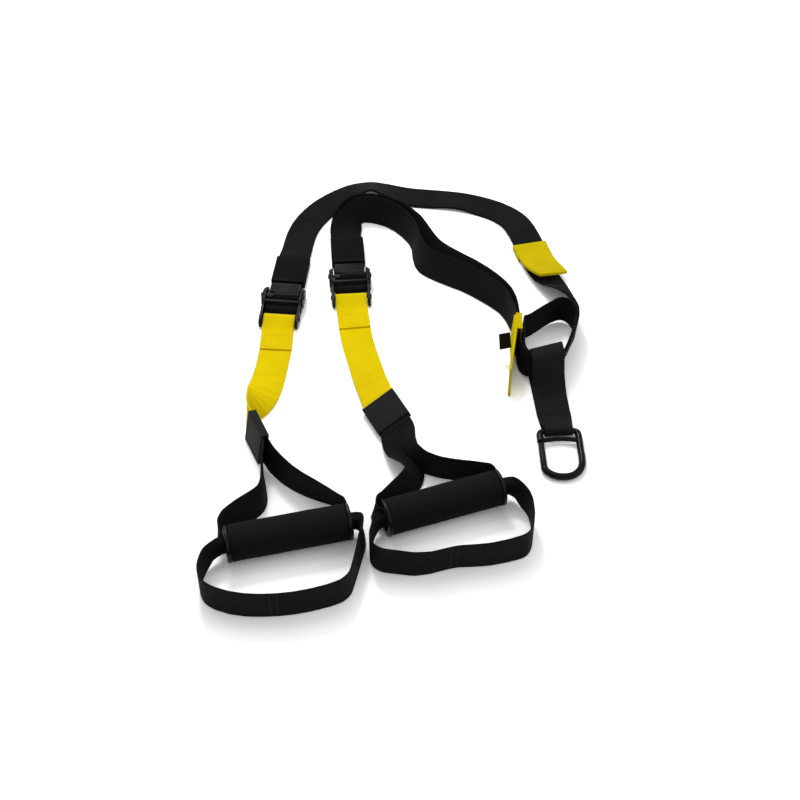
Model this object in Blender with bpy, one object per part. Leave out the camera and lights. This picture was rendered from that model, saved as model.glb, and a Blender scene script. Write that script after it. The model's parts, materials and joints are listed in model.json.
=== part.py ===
# Suspension trainer, laid out on a flat surface at its shortest setting.
# Metres, +Z up. The origin is the centre of the laid-out trainer, on the surface.
#
# One long strap of webbing runs from the left buckle, round through the anchor
# loop, and back to the right buckle. At each buckle it turns round a bar and
# comes back along itself to a yellow pull tab. Each buckle carries a yellow
# strap, a collar, and a handle: a foam grip on a tube with a triangle of
# webbing and a foot loop threaded through it.

import bpy
import bmesh
import math
import numpy as np
from mathutils import Matrix, Vector

# Driving sizes of the webbing and of the gaps between touching pieces.
WEBBING_WIDTH = 0.038
WEBBING_THICKNESS = 0.0016
LEAST_CURL = 0.01
SEAT_GAP = 0.0003
LAYER_PITCH = WEBBING_THICKNESS + SEAT_GAP
LAID_OUT_CENTRE = (0.009, 0.051)

# How finely a strap's path is cut into flat stretches.
DENSE_STEP = 0.001
LONGEST_STRETCH = 0.016
SHARPEST_TURN = math.radians(16)
SHARPEST_ROLL = math.radians(12)
TURN_ROUND_BAR = math.radians(8)
CURLED_COLUMNS = 5
FLAT_COLUMNS = 2
FLAT_ENOUGH = 5.0

# The buckles lie on the surface with u along the strap towards the anchor,
# v across it and z up, measured from under the loop bar.
LEFT_BUCKLE = {"place": (-0.1445, 0.133), "heading": math.radians(84.3)}
RIGHT_BUCKLE = {"place": (-0.0595, 0.171), "heading": math.radians(94.3)}
CHEEK_THICKNESS = 0.0024
CHEEK_CLEARANCE = 0.0022
CHEEK_INSIDE = WEBBING_WIDTH + 2 * CHEEK_CLEARANCE
BASE_PLATE_THICKNESS = 0.0018
BASE_PLATE_SPAN = (0.019, 0.038)
LOOP_BAR_RADIUS = 0.003
LOOP_BAR_HEIGHT = 0.006
TURN_BAR_RADIUS = 0.0035
TURN_BAR_AT = 0.014
CAM_PIN_RADIUS = 0.002
CAM_PIN_AT = (0.029, 0.0157)
CAM_RADIUS = 0.0042
CAM_TOOTH = 0.0005
CAM_TEETH = 18
LEVER_REACH = 0.025
LEVER_THICKNESS = 0.0022
LEVER_DROOP = math.radians(10)
LEVER_RIDGES = 3
LEVER_RIDGE_HEIGHT = 0.0008
LEVER_RIDGE_PITCH = 0.0036
RIVET_HEAD_RADIUS = 0.0034
RIVET_HEAD_THICKNESS = 0.0012
SPRING_WIRE_RADIUS = 0.0004
SPRING_COIL_RADIUS = 0.0032
SPRING_CURLS = 5
SPRING_CURL_POINTS = 9
SPRING_PITCH = 0.0014

# The keeper sleeve holds the layers of strap together above each buckle.
KEEPER_SPAN = (0.064, 0.112)
KEEPER_WALL = 0.001
KEEPER_WIDTH_GAP = 0.0008
STRAP_END_IN_KEEPER = 0.067
TURN_END_IN_KEEPER = 0.107

# The pull tabs.
TAB_WALL = 0.0014
TAB_SIDE_GAP = 0.0012
TAB_SLEEVE_LENGTH = 0.026
TAIL_WIDTH = 0.021

# The yellow straps.
YELLOW_THICKNESS = 0.0018
YELLOW_SEWN_LENGTH = 0.052

# The collars between yellow strap and handle.
COLLAR_LENGTH = 0.042
COLLAR_WALL = 0.0014
COLLAR_SIDE_GAP = 0.0006

# The grips.
GRIP_LENGTH = 0.130
FLANGE_THICKNESS = 0.004
FLANGE_RADIUS = 0.020
FOAM_RADIUS = 0.0195
BORE_RADIUS = 0.0135
CORE_WALL = 0.0019
GRIP_SIDES = 28
GRIP_HEIGHT = 0.0203
LEFT_GRIP = {"place": (-0.1143, -0.2115), "heading": math.radians(13.5)}
RIGHT_GRIP = {"place": (0.0445, -0.171), "heading": math.radians(19.5)}
TRIANGLE_CURL_RADIUS = 0.0122
FOOT_CURL_RADIUS = 0.0092

# The anchor strap and the carabiner.
ANCHOR_PLACE = (0.1675, 0.036)
ANCHOR_HEADING = math.radians(-85.2)
CARABINER_HEADING = math.radians(-88.0)
ROD_RADIUS = 0.0040
ROD_SIDES = 12
SLOT_BAR_RADIUS = 0.0032
SLOT_BAR_HEIGHT = 0.0064
SLOT_BAR_AT = 0.0915
CARABINER_CLEARANCE = 0.0022
CARABINER_HALF_WIDTH = WEBBING_WIDTH / 2 + CARABINER_CLEARANCE
CARABINER_CORNER_RADIUS = 0.005
WEB_AT = 0.0115
WEB_RADIUS = 0.0026
WEB_ARCH = 0.0025
GATE_SPAN = (0.0200, 0.0508)
GATE_RADIUS = 0.0035
GATE_PIN_RADIUS = 0.0014

# Free routes of the straps, chosen by hand: x, y, height of the lower edge
# above the surface, and roll in degrees. Roll 0 lies flat, 90 stands on edge.
MAIN_ROUTE_LEFT = [
    (-0.1310, 0.262, 0.0006, 0),
    (-0.1285, 0.284, 0.0000, 0),
    (-0.1240, 0.308, 0.0000, 0),
    (-0.1140, 0.332, 0.0000, 0),
    (-0.0970, 0.357, 0.0000, 0),
    (-0.0800, 0.372, 0.0005, 4),
    (-0.0600, 0.384, 0.0020, 12),
    (-0.0370, 0.387, 0.0040, 22),
    (-0.0120, 0.382, 0.0020, 12),
    (0.0100, 0.378, 0.0000, 2),
    (0.0400, 0.374, 0.0000, 0),
    (0.0620, 0.371, 0.0000, 4),
    (0.0820, 0.367, 0.0000, 5),
    (0.1060, 0.3585, 0.0000, 0),
    (0.1300, 0.345, 0.0000, 0),
    (0.1475, 0.326, 0.0010, 0),
    (0.1575, 0.301, 0.0020, 0),
    (0.1650, 0.272, 0.0020, 0),
    (0.1720, 0.242, 0.0015, 2),
    (0.1810, 0.212, 0.0005, 8),
    (0.1930, 0.185, 0.0000, 26),
    (0.2030, 0.161, 0.0000, 52),
]
MAIN_ROUTE_ANCHOR = [
    (0.2090, 0.136, 0.0000, 80),
    (0.2105, 0.120, 0.0000, 90),
    (0.2085, 0.105, 0.0000, 94),
    (0.2042, 0.091, 0.0003, 97),
    (0.2000, 0.080, 0.0006, 99),
    (0.1962, 0.069, 0.0010, 100),
    (0.1918, 0.057, 0.0016, 101),
    (0.1860, 0.0455, 0.0020, 107),
    (0.1780, 0.0385, 0.0020, 106),
    (0.1670, 0.0355, 0.0020, 101),
    (0.1550, 0.0345, 0.0020, 94),
    (0.1460, 0.0370, 0.0020, 88),
    (0.1402, 0.0440, 0.0020, 86),
    (0.1376, 0.0550, 0.0026, 86),
    (0.1373, 0.0700, 0.0030, 86),
    (0.1376, 0.0860, 0.0030, 86),
    (0.1378, 0.1040, 0.0030, 85),
]
MAIN_ROUTE_RIGHT = [
    (0.1355, 0.130, 0.0000, 80),
    (0.1290, 0.150, 0.0000, 72),
    (0.1150, 0.172, 0.0000, 62),
    (0.0900, 0.200, 0.0000, 54),
    (0.0620, 0.224, 0.0000, 50),
    (0.0420, 0.243, 0.0000, 56),
    (0.0310, 0.266, 0.0000, 64),
    (0.0220, 0.290, 0.0000, 70),
    (0.0060, 0.311, 0.0000, 72),
    (-0.0120, 0.326, 0.0000, 74),
    (-0.0310, 0.334, 0.0000, 76),
    (-0.0480, 0.336, 0.0000, 78),
    (-0.0600, 0.331, 0.0000, 70),
    (-0.0680, 0.319, 0.0000, 46),
    (-0.0712, 0.304, 0.0002, 16),
    (-0.0702, 0.292, 0.0008, 2),
]
RETURN_ROUTE_RIGHT = [
    (0.1310, 0.130, 0.0000, 84),
    (0.1235, 0.150, 0.0000, 80),
    (0.1080, 0.168, 0.0000, 76),
    (0.0820, 0.192, 0.0000, 72),
    (0.0530, 0.210, 0.0000, 70),
    (0.0290, 0.229, 0.0000, 70),
    (0.0210, 0.252, 0.0000, 76),
    (0.0175, 0.276, 0.0000, 80),
    (0.0040, 0.301, 0.0000, 78),
    (-0.0125, 0.319, 0.0000, 76),
    (-0.0310, 0.3275, 0.0000, 78),
    (-0.0470, 0.3295, 0.0000, 80),
    (-0.0563, 0.3245, 0.0000, 74),
    (-0.0622, 0.3146, 0.0010, 50),
    (-0.0680, 0.3020, 0.0026, 20),
    (-0.0690, 0.2915, 0.0046, 2),
]
RING_ROUTE_TOP = [
    (0.1446, 0.1010, 0.0000, 86),
    (0.1510, 0.1045, 0.0000, 88),
    (0.1640, 0.1160, 0.0000, 88),
    (0.1800, 0.1285, 0.0010, 86),
    (0.1900, 0.1328, 0.0026, 87),
    (0.1985, 0.1305, 0.0026, 89),
    (0.2045, 0.1240, 0.0010, 90),
]
LEFT_YELLOW_ROUTE = [
    (-0.1462, 0.108, 0.0000, 0),
    (-0.1462, 0.088, 0.0000, 0),
    (-0.1485, 0.060, 0.0000, 0),
    (-0.1508, 0.036, 0.0000, 5),
    (-0.1535, 0.014, 0.0000, 15),
    (-0.1575, -0.008, 0.0000, 36),
    (-0.1638, -0.028, 0.0004, 68),
    (-0.1688, -0.046, 0.0008, 96),
]
RIGHT_YELLOW_ROUTE = [
    (-0.0570, 0.146, 0.0000, 0),
    (-0.0550, 0.128, 0.0000, 0),
    (-0.0510, 0.100, 0.0000, 0),
    (-0.0450, 0.074, 0.0000, 0),
    (-0.0395, 0.050, 0.0010, -2),
    (-0.0340, 0.026, 0.0020, -6),
    (-0.0280, 0.004, 0.0030, -14),
]
LEFT_COLLAR = {
    "place": (-0.1556, -0.0781),
    "heading": math.radians(-66),
    "roll": -80,
    "lift": 0.0,
    "yellow_turn": 180,
}
RIGHT_COLLAR = {
    "place": (-0.0150, -0.033),
    "heading": math.radians(-64),
    "roll": -26,
    "lift": 0.0,
    "yellow_turn": 0,
}
LEFT_HANDLE = {
    "side": "left",
    "buckle": LEFT_BUCKLE,
    "grip": LEFT_GRIP,
    "collar": LEFT_COLLAR,
    "yellow_route": LEFT_YELLOW_ROUTE,
    "right_leg": [
        (-0.1392, -0.1080, 0.0012, 100),
        (-0.1312, -0.1180, 0.0003, 98),
        (-0.1225, -0.1272, 0.0000, 96),
        (-0.1120, -0.1372, 0.0000, 92),
        (-0.0985, -0.1468, 0.0000, 88),
        (-0.0815, -0.1565, 0.0000, 82),
        (-0.0715, -0.1622, 0.0000, 77),
        (-0.0610, -0.1690, 0.0003, 73),
    ],
    "right_arrival": math.radians(-48),
    "right_lean": 74,
    "left_departure": math.radians(85),
    "left_lean": 84,
    "left_leg": [
        (-0.1812, -0.1985, 0.0003, 94),
        (-0.1752, -0.1930, 0.0000, 98),
        (-0.1630, -0.1812, 0.0000, 101),
        (-0.1525, -0.1728, 0.0000, 102),
        (-0.1450, -0.1638, 0.0000, 98),
        (-0.1428, -0.1530, 0.0000, 97),
        (-0.1441, -0.1400, 0.0000, 95),
        (-0.1462, -0.1240, 0.0004, 91),
        (-0.1478, -0.1120, 0.0008, 86),
    ],
    "left_home_turn": 0,
    "foot_route": [
        (-0.1940, -0.2430, 0.0006, 90),
        (-0.1990, -0.2560, 0.0000, 90),
        (-0.1995, -0.2720, 0.0000, 90),
        (-0.1930, -0.2860, 0.0000, 90),
        (-0.1780, -0.2955, 0.0000, 90),
        (-0.1530, -0.3015, 0.0000, 89),
        (-0.1270, -0.3020, 0.0000, 88),
        (-0.1010, -0.2990, 0.0000, 88),
        (-0.0770, -0.2925, 0.0000, 88),
        (-0.0580, -0.2850, 0.0000, 89),
        (-0.0492, -0.2750, 0.0000, 90),
        (-0.0453, -0.2580, 0.0000, 91),
        (-0.0415, -0.2380, 0.0000, 93),
        (-0.0386, -0.2210, 0.0000, 95),
        (-0.0362, -0.2105, 0.0006, 95),
    ],
}
RIGHT_HANDLE = {
    "side": "right",
    "buckle": RIGHT_BUCKLE,
    "grip": RIGHT_GRIP,
    "collar": RIGHT_COLLAR,
    "yellow_route": RIGHT_YELLOW_ROUTE,
    "right_leg": [
        (0.0035, -0.0740, 0.0020, 136),
        (0.0100, -0.0930, 0.0006, 112),
        (0.0155, -0.1035, 0.0000, 98),
        (0.0270, -0.1135, 0.0000, 88),
        (0.0410, -0.1200, 0.0000, 85),
        (0.0560, -0.1235, 0.0000, 84),
        (0.0745, -0.1262, 0.0000, 84),
        (0.0880, -0.1270, 0.0000, 80),
        (0.0970, -0.1275, 0.0003, 76),
    ],
    "right_arrival": math.radians(-42),
    "right_lean": 76,
    "left_departure": math.radians(62),
    "left_lean": 80,
    "left_leg": [
        (-0.0245, -0.1722, 0.0003, 79),
        (-0.0172, -0.1655, 0.0000, 82),
        (-0.0060, -0.1545, 0.0000, 92),
        (0.0052, -0.1448, 0.0000, 99),
        (0.0120, -0.1350, 0.0003, 116),
        (0.0130, -0.1230, 0.0015, 132),
        (0.0095, -0.1080, 0.0040, 152),
        (0.0040, -0.0920, 0.0060, 172),
        (-0.0010, -0.0760, 0.0060, 192),
    ],
    "left_home_turn": 180,
    "foot_route": [
        (-0.0263, -0.2110, 0.0006, 90),
        (-0.0303, -0.2210, 0.0000, 90),
        (-0.0292, -0.2360, 0.0000, 90),
        (-0.0200, -0.2455, 0.0000, 90),
        (-0.0020, -0.2490, 0.0000, 90),
        (0.0180, -0.2515, 0.0000, 89),
        (0.0370, -0.2480, 0.0000, 86),
        (0.0540, -0.2420, 0.0000, 86),
        (0.0740, -0.2405, 0.0000, 87),
        (0.0950, -0.2380, 0.0000, 88),
        (0.1140, -0.2325, 0.0000, 89),
        (0.1290, -0.2260, 0.0000, 90),
        (0.1355, -0.2130, 0.0000, 90),
        (0.1370, -0.1920, 0.0000, 90),
        (0.1350, -0.1730, 0.0000, 90),
        (0.1280, -0.1615, 0.0006, 90),
    ],
}
RIGHT_BEND_RADIUS = 0.0036
LEFT_BEND_RADIUS = 0.0045
BEND_CLEARANCE = 0.0012
FOOT_STRAIGHT_OUT = 0.008

# The anchor strap's outline seen from its edge: distance along it and height.
ANCHOR_ROUTE = [
    (0.0600, 0.0009),
    (0.0300, 0.0009),
    (0.0080, 0.0009),
    (-0.0030, 0.0009),
    (-0.0142, 0.0009),
    (-0.0186, 0.0030),
    (-0.0192, 0.0090),
    (-0.0174, 0.0200),
    (-0.0156, 0.0300),
    (-0.0142, 0.0376),
    (-0.0097, 0.0421),
    (-0.0020, 0.0428),
    (0.0048, 0.0425),
    (0.0094, 0.0392),
    (0.0114, 0.0330),
    (0.0142, 0.0235),
    (0.0205, 0.0132),
    (0.0310, 0.0066),
    (0.0460, 0.0040),
    (0.0600, 0.0032),
    (0.0700, 0.0038),
    (0.0800, 0.0076),
]

# Heights and lengths that the layers share.
MAIN_LAYER_HEIGHT = KEEPER_WALL + SEAT_GAP + WEBBING_THICKNESS / 2
TURN_LOWER_HEIGHT = MAIN_LAYER_HEIGHT + LAYER_PITCH
TURN_UPPER_HEIGHT = TURN_LOWER_HEIGHT + LAYER_PITCH
RETURN_LAYER_HEIGHT = TURN_UPPER_HEIGHT + LAYER_PITCH
KEEPER_MIDDLE = (KEEPER_SPAN[0] + KEEPER_SPAN[1]) / 2
TURN_BAR_HEIGHT = 0.0075
TENON_RADIUS = 0.002
BAR_SIDES = 16
PIN_SIDES = 14
SHARP_EDGE = math.radians(35)
RETURN_DROP_LENGTH = 0.024
CHEEK_OUTLINE = [
    (-0.014, 0.0015),
    (-0.014, 0.0095),
    (-0.010, 0.0120),
    (0.004, 0.0135),
    (0.014, 0.0150),
    (0.021, 0.0188),
    (0.034, 0.0195),
    (0.044, 0.0165),
    (0.050, 0.0110),
    (0.050, 0.0010),
    (0.046, 0.0),
    (-0.010, 0.0),
]
TURN_LOWER_LEG = [
    (TURN_END_IN_KEEPER, TURN_LOWER_HEIGHT),
    (KEEPER_MIDDLE, TURN_LOWER_HEIGHT),
    (KEEPER_SPAN[0], TURN_LOWER_HEIGHT),
    (0.0500, 0.0034),
    (0.0380, 0.0029),
    (0.0260, 0.0029),
    (0.0165, 0.0029),
]
TURN_UPPER_LEG = [
    (0.0156, 0.0120),
    (0.0210, 0.0110),
    (0.0290, 0.0094),
    (0.0400, 0.0072),
    (0.0520, 0.0061),
    (KEEPER_SPAN[0], TURN_UPPER_HEIGHT),
    (KEEPER_MIDDLE, TURN_UPPER_HEIGHT),
    (TURN_END_IN_KEEPER, TURN_UPPER_HEIGHT),
]
CAM_SPAN = (-0.0206, 0.011)
LEVER_SPAN = (-0.017, 0.008)
LEVER_BASE = 0.0012
LEVER_ROOT = 0.0006
LEVER_RIDGE_START = 0.0015
SPRING_FIRST_V = 0.0122
SPRING_LEG = 0.004
YELLOW_LEAVES_BAR = 0.012
YELLOW_LEAVES_HEIGHT = 0.0013
YELLOW_CLOSES = 0.018
YELLOW_COLLAR_STOPS = (-0.021, -0.005, 0.012)
LEG_COLLAR_STOPS = (-0.012, 0.005, 0.022)
COLLAR_INSIDE = YELLOW_THICKNESS + 2 * WEBBING_THICKNESS + 4 * SEAT_GAP

# The tabs and the locking loop, placed on the long strap.
UPPER_TAB_START = (0.1642, 0.2750)
UPPER_TAB_FAR_END = (0.1700, 0.2480)
UPPER_TAB_RISE = 0.008
LOWER_TAB_START = (0.1374, 0.0740)
LOWER_TAB_NEAR_END = (0.1372, 0.0700)
LOWER_TAB_FAR_END = (0.1378, 0.1020)
TAB_FLAP_LENGTH = 0.055
TAB_FLAP_OVERLAP = 0.006
TAB_FLAP_THICKNESS = 0.0030
TAB_FLAP_RAISED = 0.0006
TAB_FLAP_INSET = 0.0003
LOWER_FLAP_ROUTE = [
    (0.1240, 0.006, 0.0002, 90),
    (0.1262, 0.026, 0.0002, 90),
    (0.1290, 0.046, 0.0002, 89),
    (0.1312, 0.062, 0.0002, 88),
]
LOWER_FLAP_OUT = 0.0052
LOWER_FLAP_ON_SLEEVE = ((0.1374, 0.0780), (0.1378, 0.0970))
TAIL_ROUTE = [
    (0.1282, 0.0715, 0.0270),
    (0.1220, 0.0700, 0.0265),
    (0.1150, 0.0690, 0.0260),
]
TAIL_ROLL = 80
RING_LEAVES_RIGHT = (0.2098, 0.1140)
RING_LEAVES_LEFT = (0.1378, 0.0940)
RING_OFFSET = 0.0024
RING_OFFSET_AT_TAB = 0.0052
RING_TAB_REACH = 0.048
RING_TAB_FULL = 0.026
BLEND_STEP = 8
RETURN_DROP_START = 0.002

# The anchor strap, the carabiner and its gate.
ANCHOR_PIVOT_HEIGHT = 0.020
ANCHOR_ROUTE_BACK = [(0.0800, 0.0009)]
ANCHOR_LOOP_SLACK = 0.0010
ANCHOR_TAPER = 0.17
ANCHOR_TAPER_ENDS = (0.068, 0.086)
LOOP_SKEW = 0.27
LOOP_SKEW_ENDS = (0.008, 0.024)
CARABINER_DIP = math.radians(1.6)
CARABINER_BOW = [
    (0.0280, 0.0212),
    (0.0440, 0.0210),
    (0.0515, 0.0196),
    (0.0580, 0.0160),
    (0.0630, 0.0105),
    (0.0655, 0.0040),
    (0.0658, -0.0030),
    (0.0645, -0.0095),
    (0.0615, -0.0150),
    (0.0570, -0.0193),
    (0.0545, -0.0206),
    (0.0520, -0.0212),
]
GATE_FORK_BACK = 0.0020
GATE_ROD_GAP = 0.0050
GATE_ROUNDING = 0.0006
GATE_SLOT_DEPTH = 0.0040
TANG_THICKNESS = 0.0024
TANG_HALF_WIDTH = 0.0032
TANG_ROOT = 0.0030
PIN_SUNK = 0.0006

# The ends of the straps where they pass through the grips.
FOAM_ROUNDING = 0.0008
FLANGE_ROUNDING = 0.0008
RIGHT_BEND_SHARES = (0.0, 0.25, 0.5, 0.75, 1.0)
RIGHT_BEND_CURL_SHARES = (0.0, 0.0, 0.12, 0.45, 1.0)
LEFT_BEND_SHARES = (0.0, 0.25, 0.5, 0.75, 1.0)
LEFT_BEND_CURL_SHARES = (1.0, 0.5, 0.16, 0.0, 0.0)
TRIANGLE_TUBE_STOPS = (0.97, 0.6, 0.0, -0.6, -0.97)
FOOT_TUBE_STOPS = (1.0, 0.9, 0.5, 0.0, -0.5, -0.9, -1.0)
FOOT_EXIT_CURL_SHARE = 0.98
FOOT_STRAIGHT_IN = 0.005


def clear_scene():
    for obj in list(bpy.data.objects):
        bpy.data.objects.remove(obj, do_unlink=True)


def make_material(name, colour, roughness, metallic=0.0):
    mat = bpy.data.materials.new(name)
    mat.use_nodes = True
    shader = mat.node_tree.nodes["Principled BSDF"]
    shader.inputs["Base Color"].default_value = (*colour, 1.0)
    shader.inputs["Roughness"].default_value = roughness
    shader.inputs["Metallic"].default_value = metallic
    mat.diffuse_color = (*colour, 1.0)
    return mat


def add_object(name, bm, mat, pivot=(0.0, 0.0, 0.0), parent=None, smooth=None):
    """Make one object from a bmesh whose points are already in place."""
    bmesh.ops.recalc_face_normals(bm, faces=bm.faces)
    mesh = bpy.data.meshes.new(name)
    bm.to_mesh(mesh)
    bm.free()
    pivot = Vector(pivot)
    mesh.transform(Matrix.Translation(-pivot))
    mesh.materials.append(mat)
    if smooth is not None:
        mesh.shade_smooth()
        mesh.set_sharp_from_angle(angle=smooth)
    obj = bpy.data.objects.new(name, mesh)
    bpy.context.collection.objects.link(obj)
    obj.location = pivot
    if parent is not None:
        obj.parent = parent
        obj.location = pivot - Vector(parent["pivot"])
    return obj


def add_pivot(name, place, parent=None):
    """An empty on a joint's axis, which carries the pieces that turn about it."""
    empty = bpy.data.objects.new(name, None)
    bpy.context.collection.objects.link(empty)
    empty["pivot"] = tuple(place)
    empty.location = place
    if parent is not None:
        empty.parent = parent
        empty.location = Vector(place) - Vector(parent["pivot"])
    return empty


def use_as_tool(obj, tool, operation):
    """Cut or join obj with tool, which is then only a guide."""
    tool.hide_render = True
    tool.display_type = "WIRE"
    modifier = obj.modifiers.new(tool.name, "BOOLEAN")
    modifier.operation = operation
    modifier.solver = "EXACT"
    modifier.object = tool


def loft(rings, closed=False):
    """Skin a list of closed rings of points, with end faces unless it closes on itself."""
    bm = bmesh.new()
    rows = [[bm.verts.new(point) for point in ring] for ring in rings]
    pairs = list(zip(rows, rows[1:]))
    if closed:
        pairs.append((rows[-1], rows[0]))
    count = len(rows[0])
    for near, far in pairs:
        for i in range(count):
            j = (i + 1) % count
            bm.faces.new((near[i], near[j], far[j], far[i]))
    if not closed:
        bm.faces.new(rows[0])
        bm.faces.new(rows[-1])
    return bm


def layout_matrix(place, heading):
    shift = Vector((place[0] - LAID_OUT_CENTRE[0], place[1] - LAID_OUT_CENTRE[1], 0.0))
    return Matrix.Translation(shift) @ Matrix.Rotation(heading, 4, "Z")


def edge_on_height(lift, roll, width, thickness):
    """Height of a strap's middle when its lowest edge is at lift."""
    angle = math.radians(roll)
    return lift + width / 2 * abs(math.sin(angle)) + thickness / 2 * abs(math.cos(angle))


def stations_on_floor(route, width=WEBBING_WIDTH, thickness=WEBBING_THICKNESS):
    found = []
    for x, y, lift, roll in route:
        height = edge_on_height(lift, roll, width, thickness)
        found.append((x - LAID_OUT_CENTRE[0], y - LAID_OUT_CENTRE[1], height, roll, 0.0))
    return found


def smooth_samples(stations, closed):
    """Points every DENSE_STEP or so on a smooth curve through the stations."""
    points = np.array(stations, dtype=float)
    if closed:
        points = np.vstack([points[-1], points, points[0], points[1]])
    else:
        points = np.vstack([2 * points[0] - points[1], points, 2 * points[-1] - points[-2]])
    spans = np.linalg.norm(np.diff(points[:, :3], axis=0), axis=1)
    knots = np.concatenate([[0.0], np.cumsum(np.sqrt(spans))])
    slopes = np.zeros_like(points)
    for i in range(1, len(points) - 1):
        before = (points[i] - points[i - 1]) / (knots[i] - knots[i - 1])
        after = (points[i + 1] - points[i]) / (knots[i + 1] - knots[i])
        share = (knots[i] - knots[i - 1]) / (knots[i + 1] - knots[i - 1])
        slopes[i] = before * (1 - share) + after * share
        opposite = before[3:] * after[3:] <= 0
        slopes[i, 3:][opposite] = 0.0
    samples = []
    for i in range(1, len(points) - 2):
        gap = knots[i + 1] - knots[i]
        count = max(2, int(spans[i] / DENSE_STEP))
        for t in np.arange(count) / count:
            h00 = 2 * t**3 - 3 * t**2 + 1
            h10 = t**3 - 2 * t**2 + t
            h01 = -2 * t**3 + 3 * t**2
            h11 = t**3 - t**2
            samples.append(
                h00 * points[i] + h10 * gap * slopes[i] + h01 * points[i + 1] + h11 * gap * slopes[i + 1]
            )
    if not closed:
        samples.append(points[-2])
    return np.array(samples)


def frame_at(before, here, after):
    """Middle, across, normal and curl of the strap at one sample."""
    along = Vector(after[:3] - before[:3]).normalized()
    level = along.cross(Vector((0, 0, 1))).normalized()
    up = level.cross(along)
    roll = math.radians(here[3])
    across = (level * math.cos(roll) + up * math.sin(roll)).normalized()
    return {
        "middle": Vector(here[:3]),
        "along": along,
        "across": across,
        "normal": across.cross(along).normalized(),
        "curl": here[4],
        "roll": here[3],
    }


def rest_on_floor(frames, width, thickness):
    """Raise any frame whose lowest edge would be below the surface."""
    for frame in frames:
        reach = abs(frame["across"].z) * width / 2 + abs(frame["normal"].z) * thickness / 2
        if frame["middle"].z < reach and abs(frame["curl"]) < FLAT_ENOUGH:
            frame["middle"] = Vector((frame["middle"].x, frame["middle"].y, reach))
    return frames


def smooth_frames(stations, closed=False, width=WEBBING_WIDTH, thickness=WEBBING_THICKNESS):
    """Frames along the smooth curve, closer together where it bends or rolls."""
    samples = smooth_samples(stations, closed)
    count = len(samples)
    frames = []
    for i in range(count):
        if closed:
            frames.append(frame_at(samples[i - 1], samples[i], samples[(i + 1) % count]))
        else:
            frames.append(frame_at(samples[max(i - 1, 0)], samples[i], samples[min(i + 1, count - 1)]))
    return rest_on_floor(frames, width, thickness)


def thin_places(frames, closed=False, turn=SHARPEST_TURN):
    """The places of the frames that the strap's shape needs."""
    kept = [0]
    walked = 0.0
    for i in range(1, len(frames)):
        here, last = frames[i], frames[kept[-1]]
        walked += (here["middle"] - frames[i - 1]["middle"]).length
        turned = here["along"].angle(last["along"])
        rolled = here["across"].angle(last["across"])
        curled = abs(here["curl"] - last["curl"]) * WEBBING_WIDTH / 2
        changed = turned > turn or rolled > SHARPEST_ROLL or curled > SHARPEST_TURN / 2
        if changed or walked > LONGEST_STRETCH:
            kept.append(i)
            walked = 0.0
    if not closed and kept[-1] != len(frames) - 1:
        kept.append(len(frames) - 1)
    return kept


def thin_out(frames, closed=False, turn=SHARPEST_TURN):
    return [frames[i] for i in thin_places(frames, closed, turn)]


def shared_places(places, start, end):
    """The long strap's own places between start and end, with both ends, counted from start."""
    inside = [i for i in places if start < i < end]
    return [i - start for i in [start] + inside + [end]]


def shifted(frames, normal_offset, across_offset=0.0):
    moved = []
    for frame in frames:
        copy = dict(frame)
        step = frame["normal"] * normal_offset + frame["across"] * across_offset
        copy["middle"] = frame["middle"] + step
        moved.append(copy)
    return moved


def strap_rows(frame, width, thickness, columns):
    """The upper and lower rows of points across a strap, curled if the frame says so."""
    upper, lower = [], []
    for column in range(columns):
        distance = width * (column / (columns - 1) - 0.5)
        curl = frame["curl"]
        if abs(curl) * width < LEAST_CURL:
            centre = frame["middle"] + frame["across"] * distance
            normal = frame["normal"]
        else:
            angle = distance * curl
            centre = (
                frame["middle"]
                + frame["across"] * (math.sin(angle) / curl)
                + frame["normal"] * ((1 - math.cos(angle)) / curl)
            )
            normal = frame["normal"] * math.cos(angle) - frame["across"] * math.sin(angle)
        upper.append(centre + normal * (thickness / 2))
        lower.append(centre - normal * (thickness / 2))
    return upper, lower


def strap_mesh(
    frames, width=WEBBING_WIDTH, thickness=WEBBING_THICKNESS, columns=FLAT_COLUMNS, closed=False
):
    rings = []
    for frame in frames:
        upper, lower = strap_rows(frame, width, thickness, columns)
        rings.append(upper + lower[::-1])
    bm = bmesh.new()
    rows = [[bm.verts.new(point) for point in ring] for ring in rings]
    pairs = list(zip(rows, rows[1:]))
    if closed:
        pairs.append((rows[-1], rows[0]))
    count = len(rows[0])
    for near, far in pairs:
        for i in range(count):
            j = (i + 1) % count
            if i < columns - 1:
                bm.faces.new((near[i], near[j], far[j]))
                bm.faces.new((near[i], far[j], far[i]))
            elif columns - 1 < i < count - 1:
                bm.faces.new((near[i], near[j], far[i]))
                bm.faces.new((near[j], far[j], far[i]))
            else:
                bm.faces.new((near[i], near[j], far[j], far[i]))
    if not closed:
        for row in (rows[0], rows[-1]):
            for i in range(columns - 1):
                bm.faces.new((row[i], row[i + 1], row[count - 2 - i], row[count - 1 - i]))
    return bm


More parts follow.
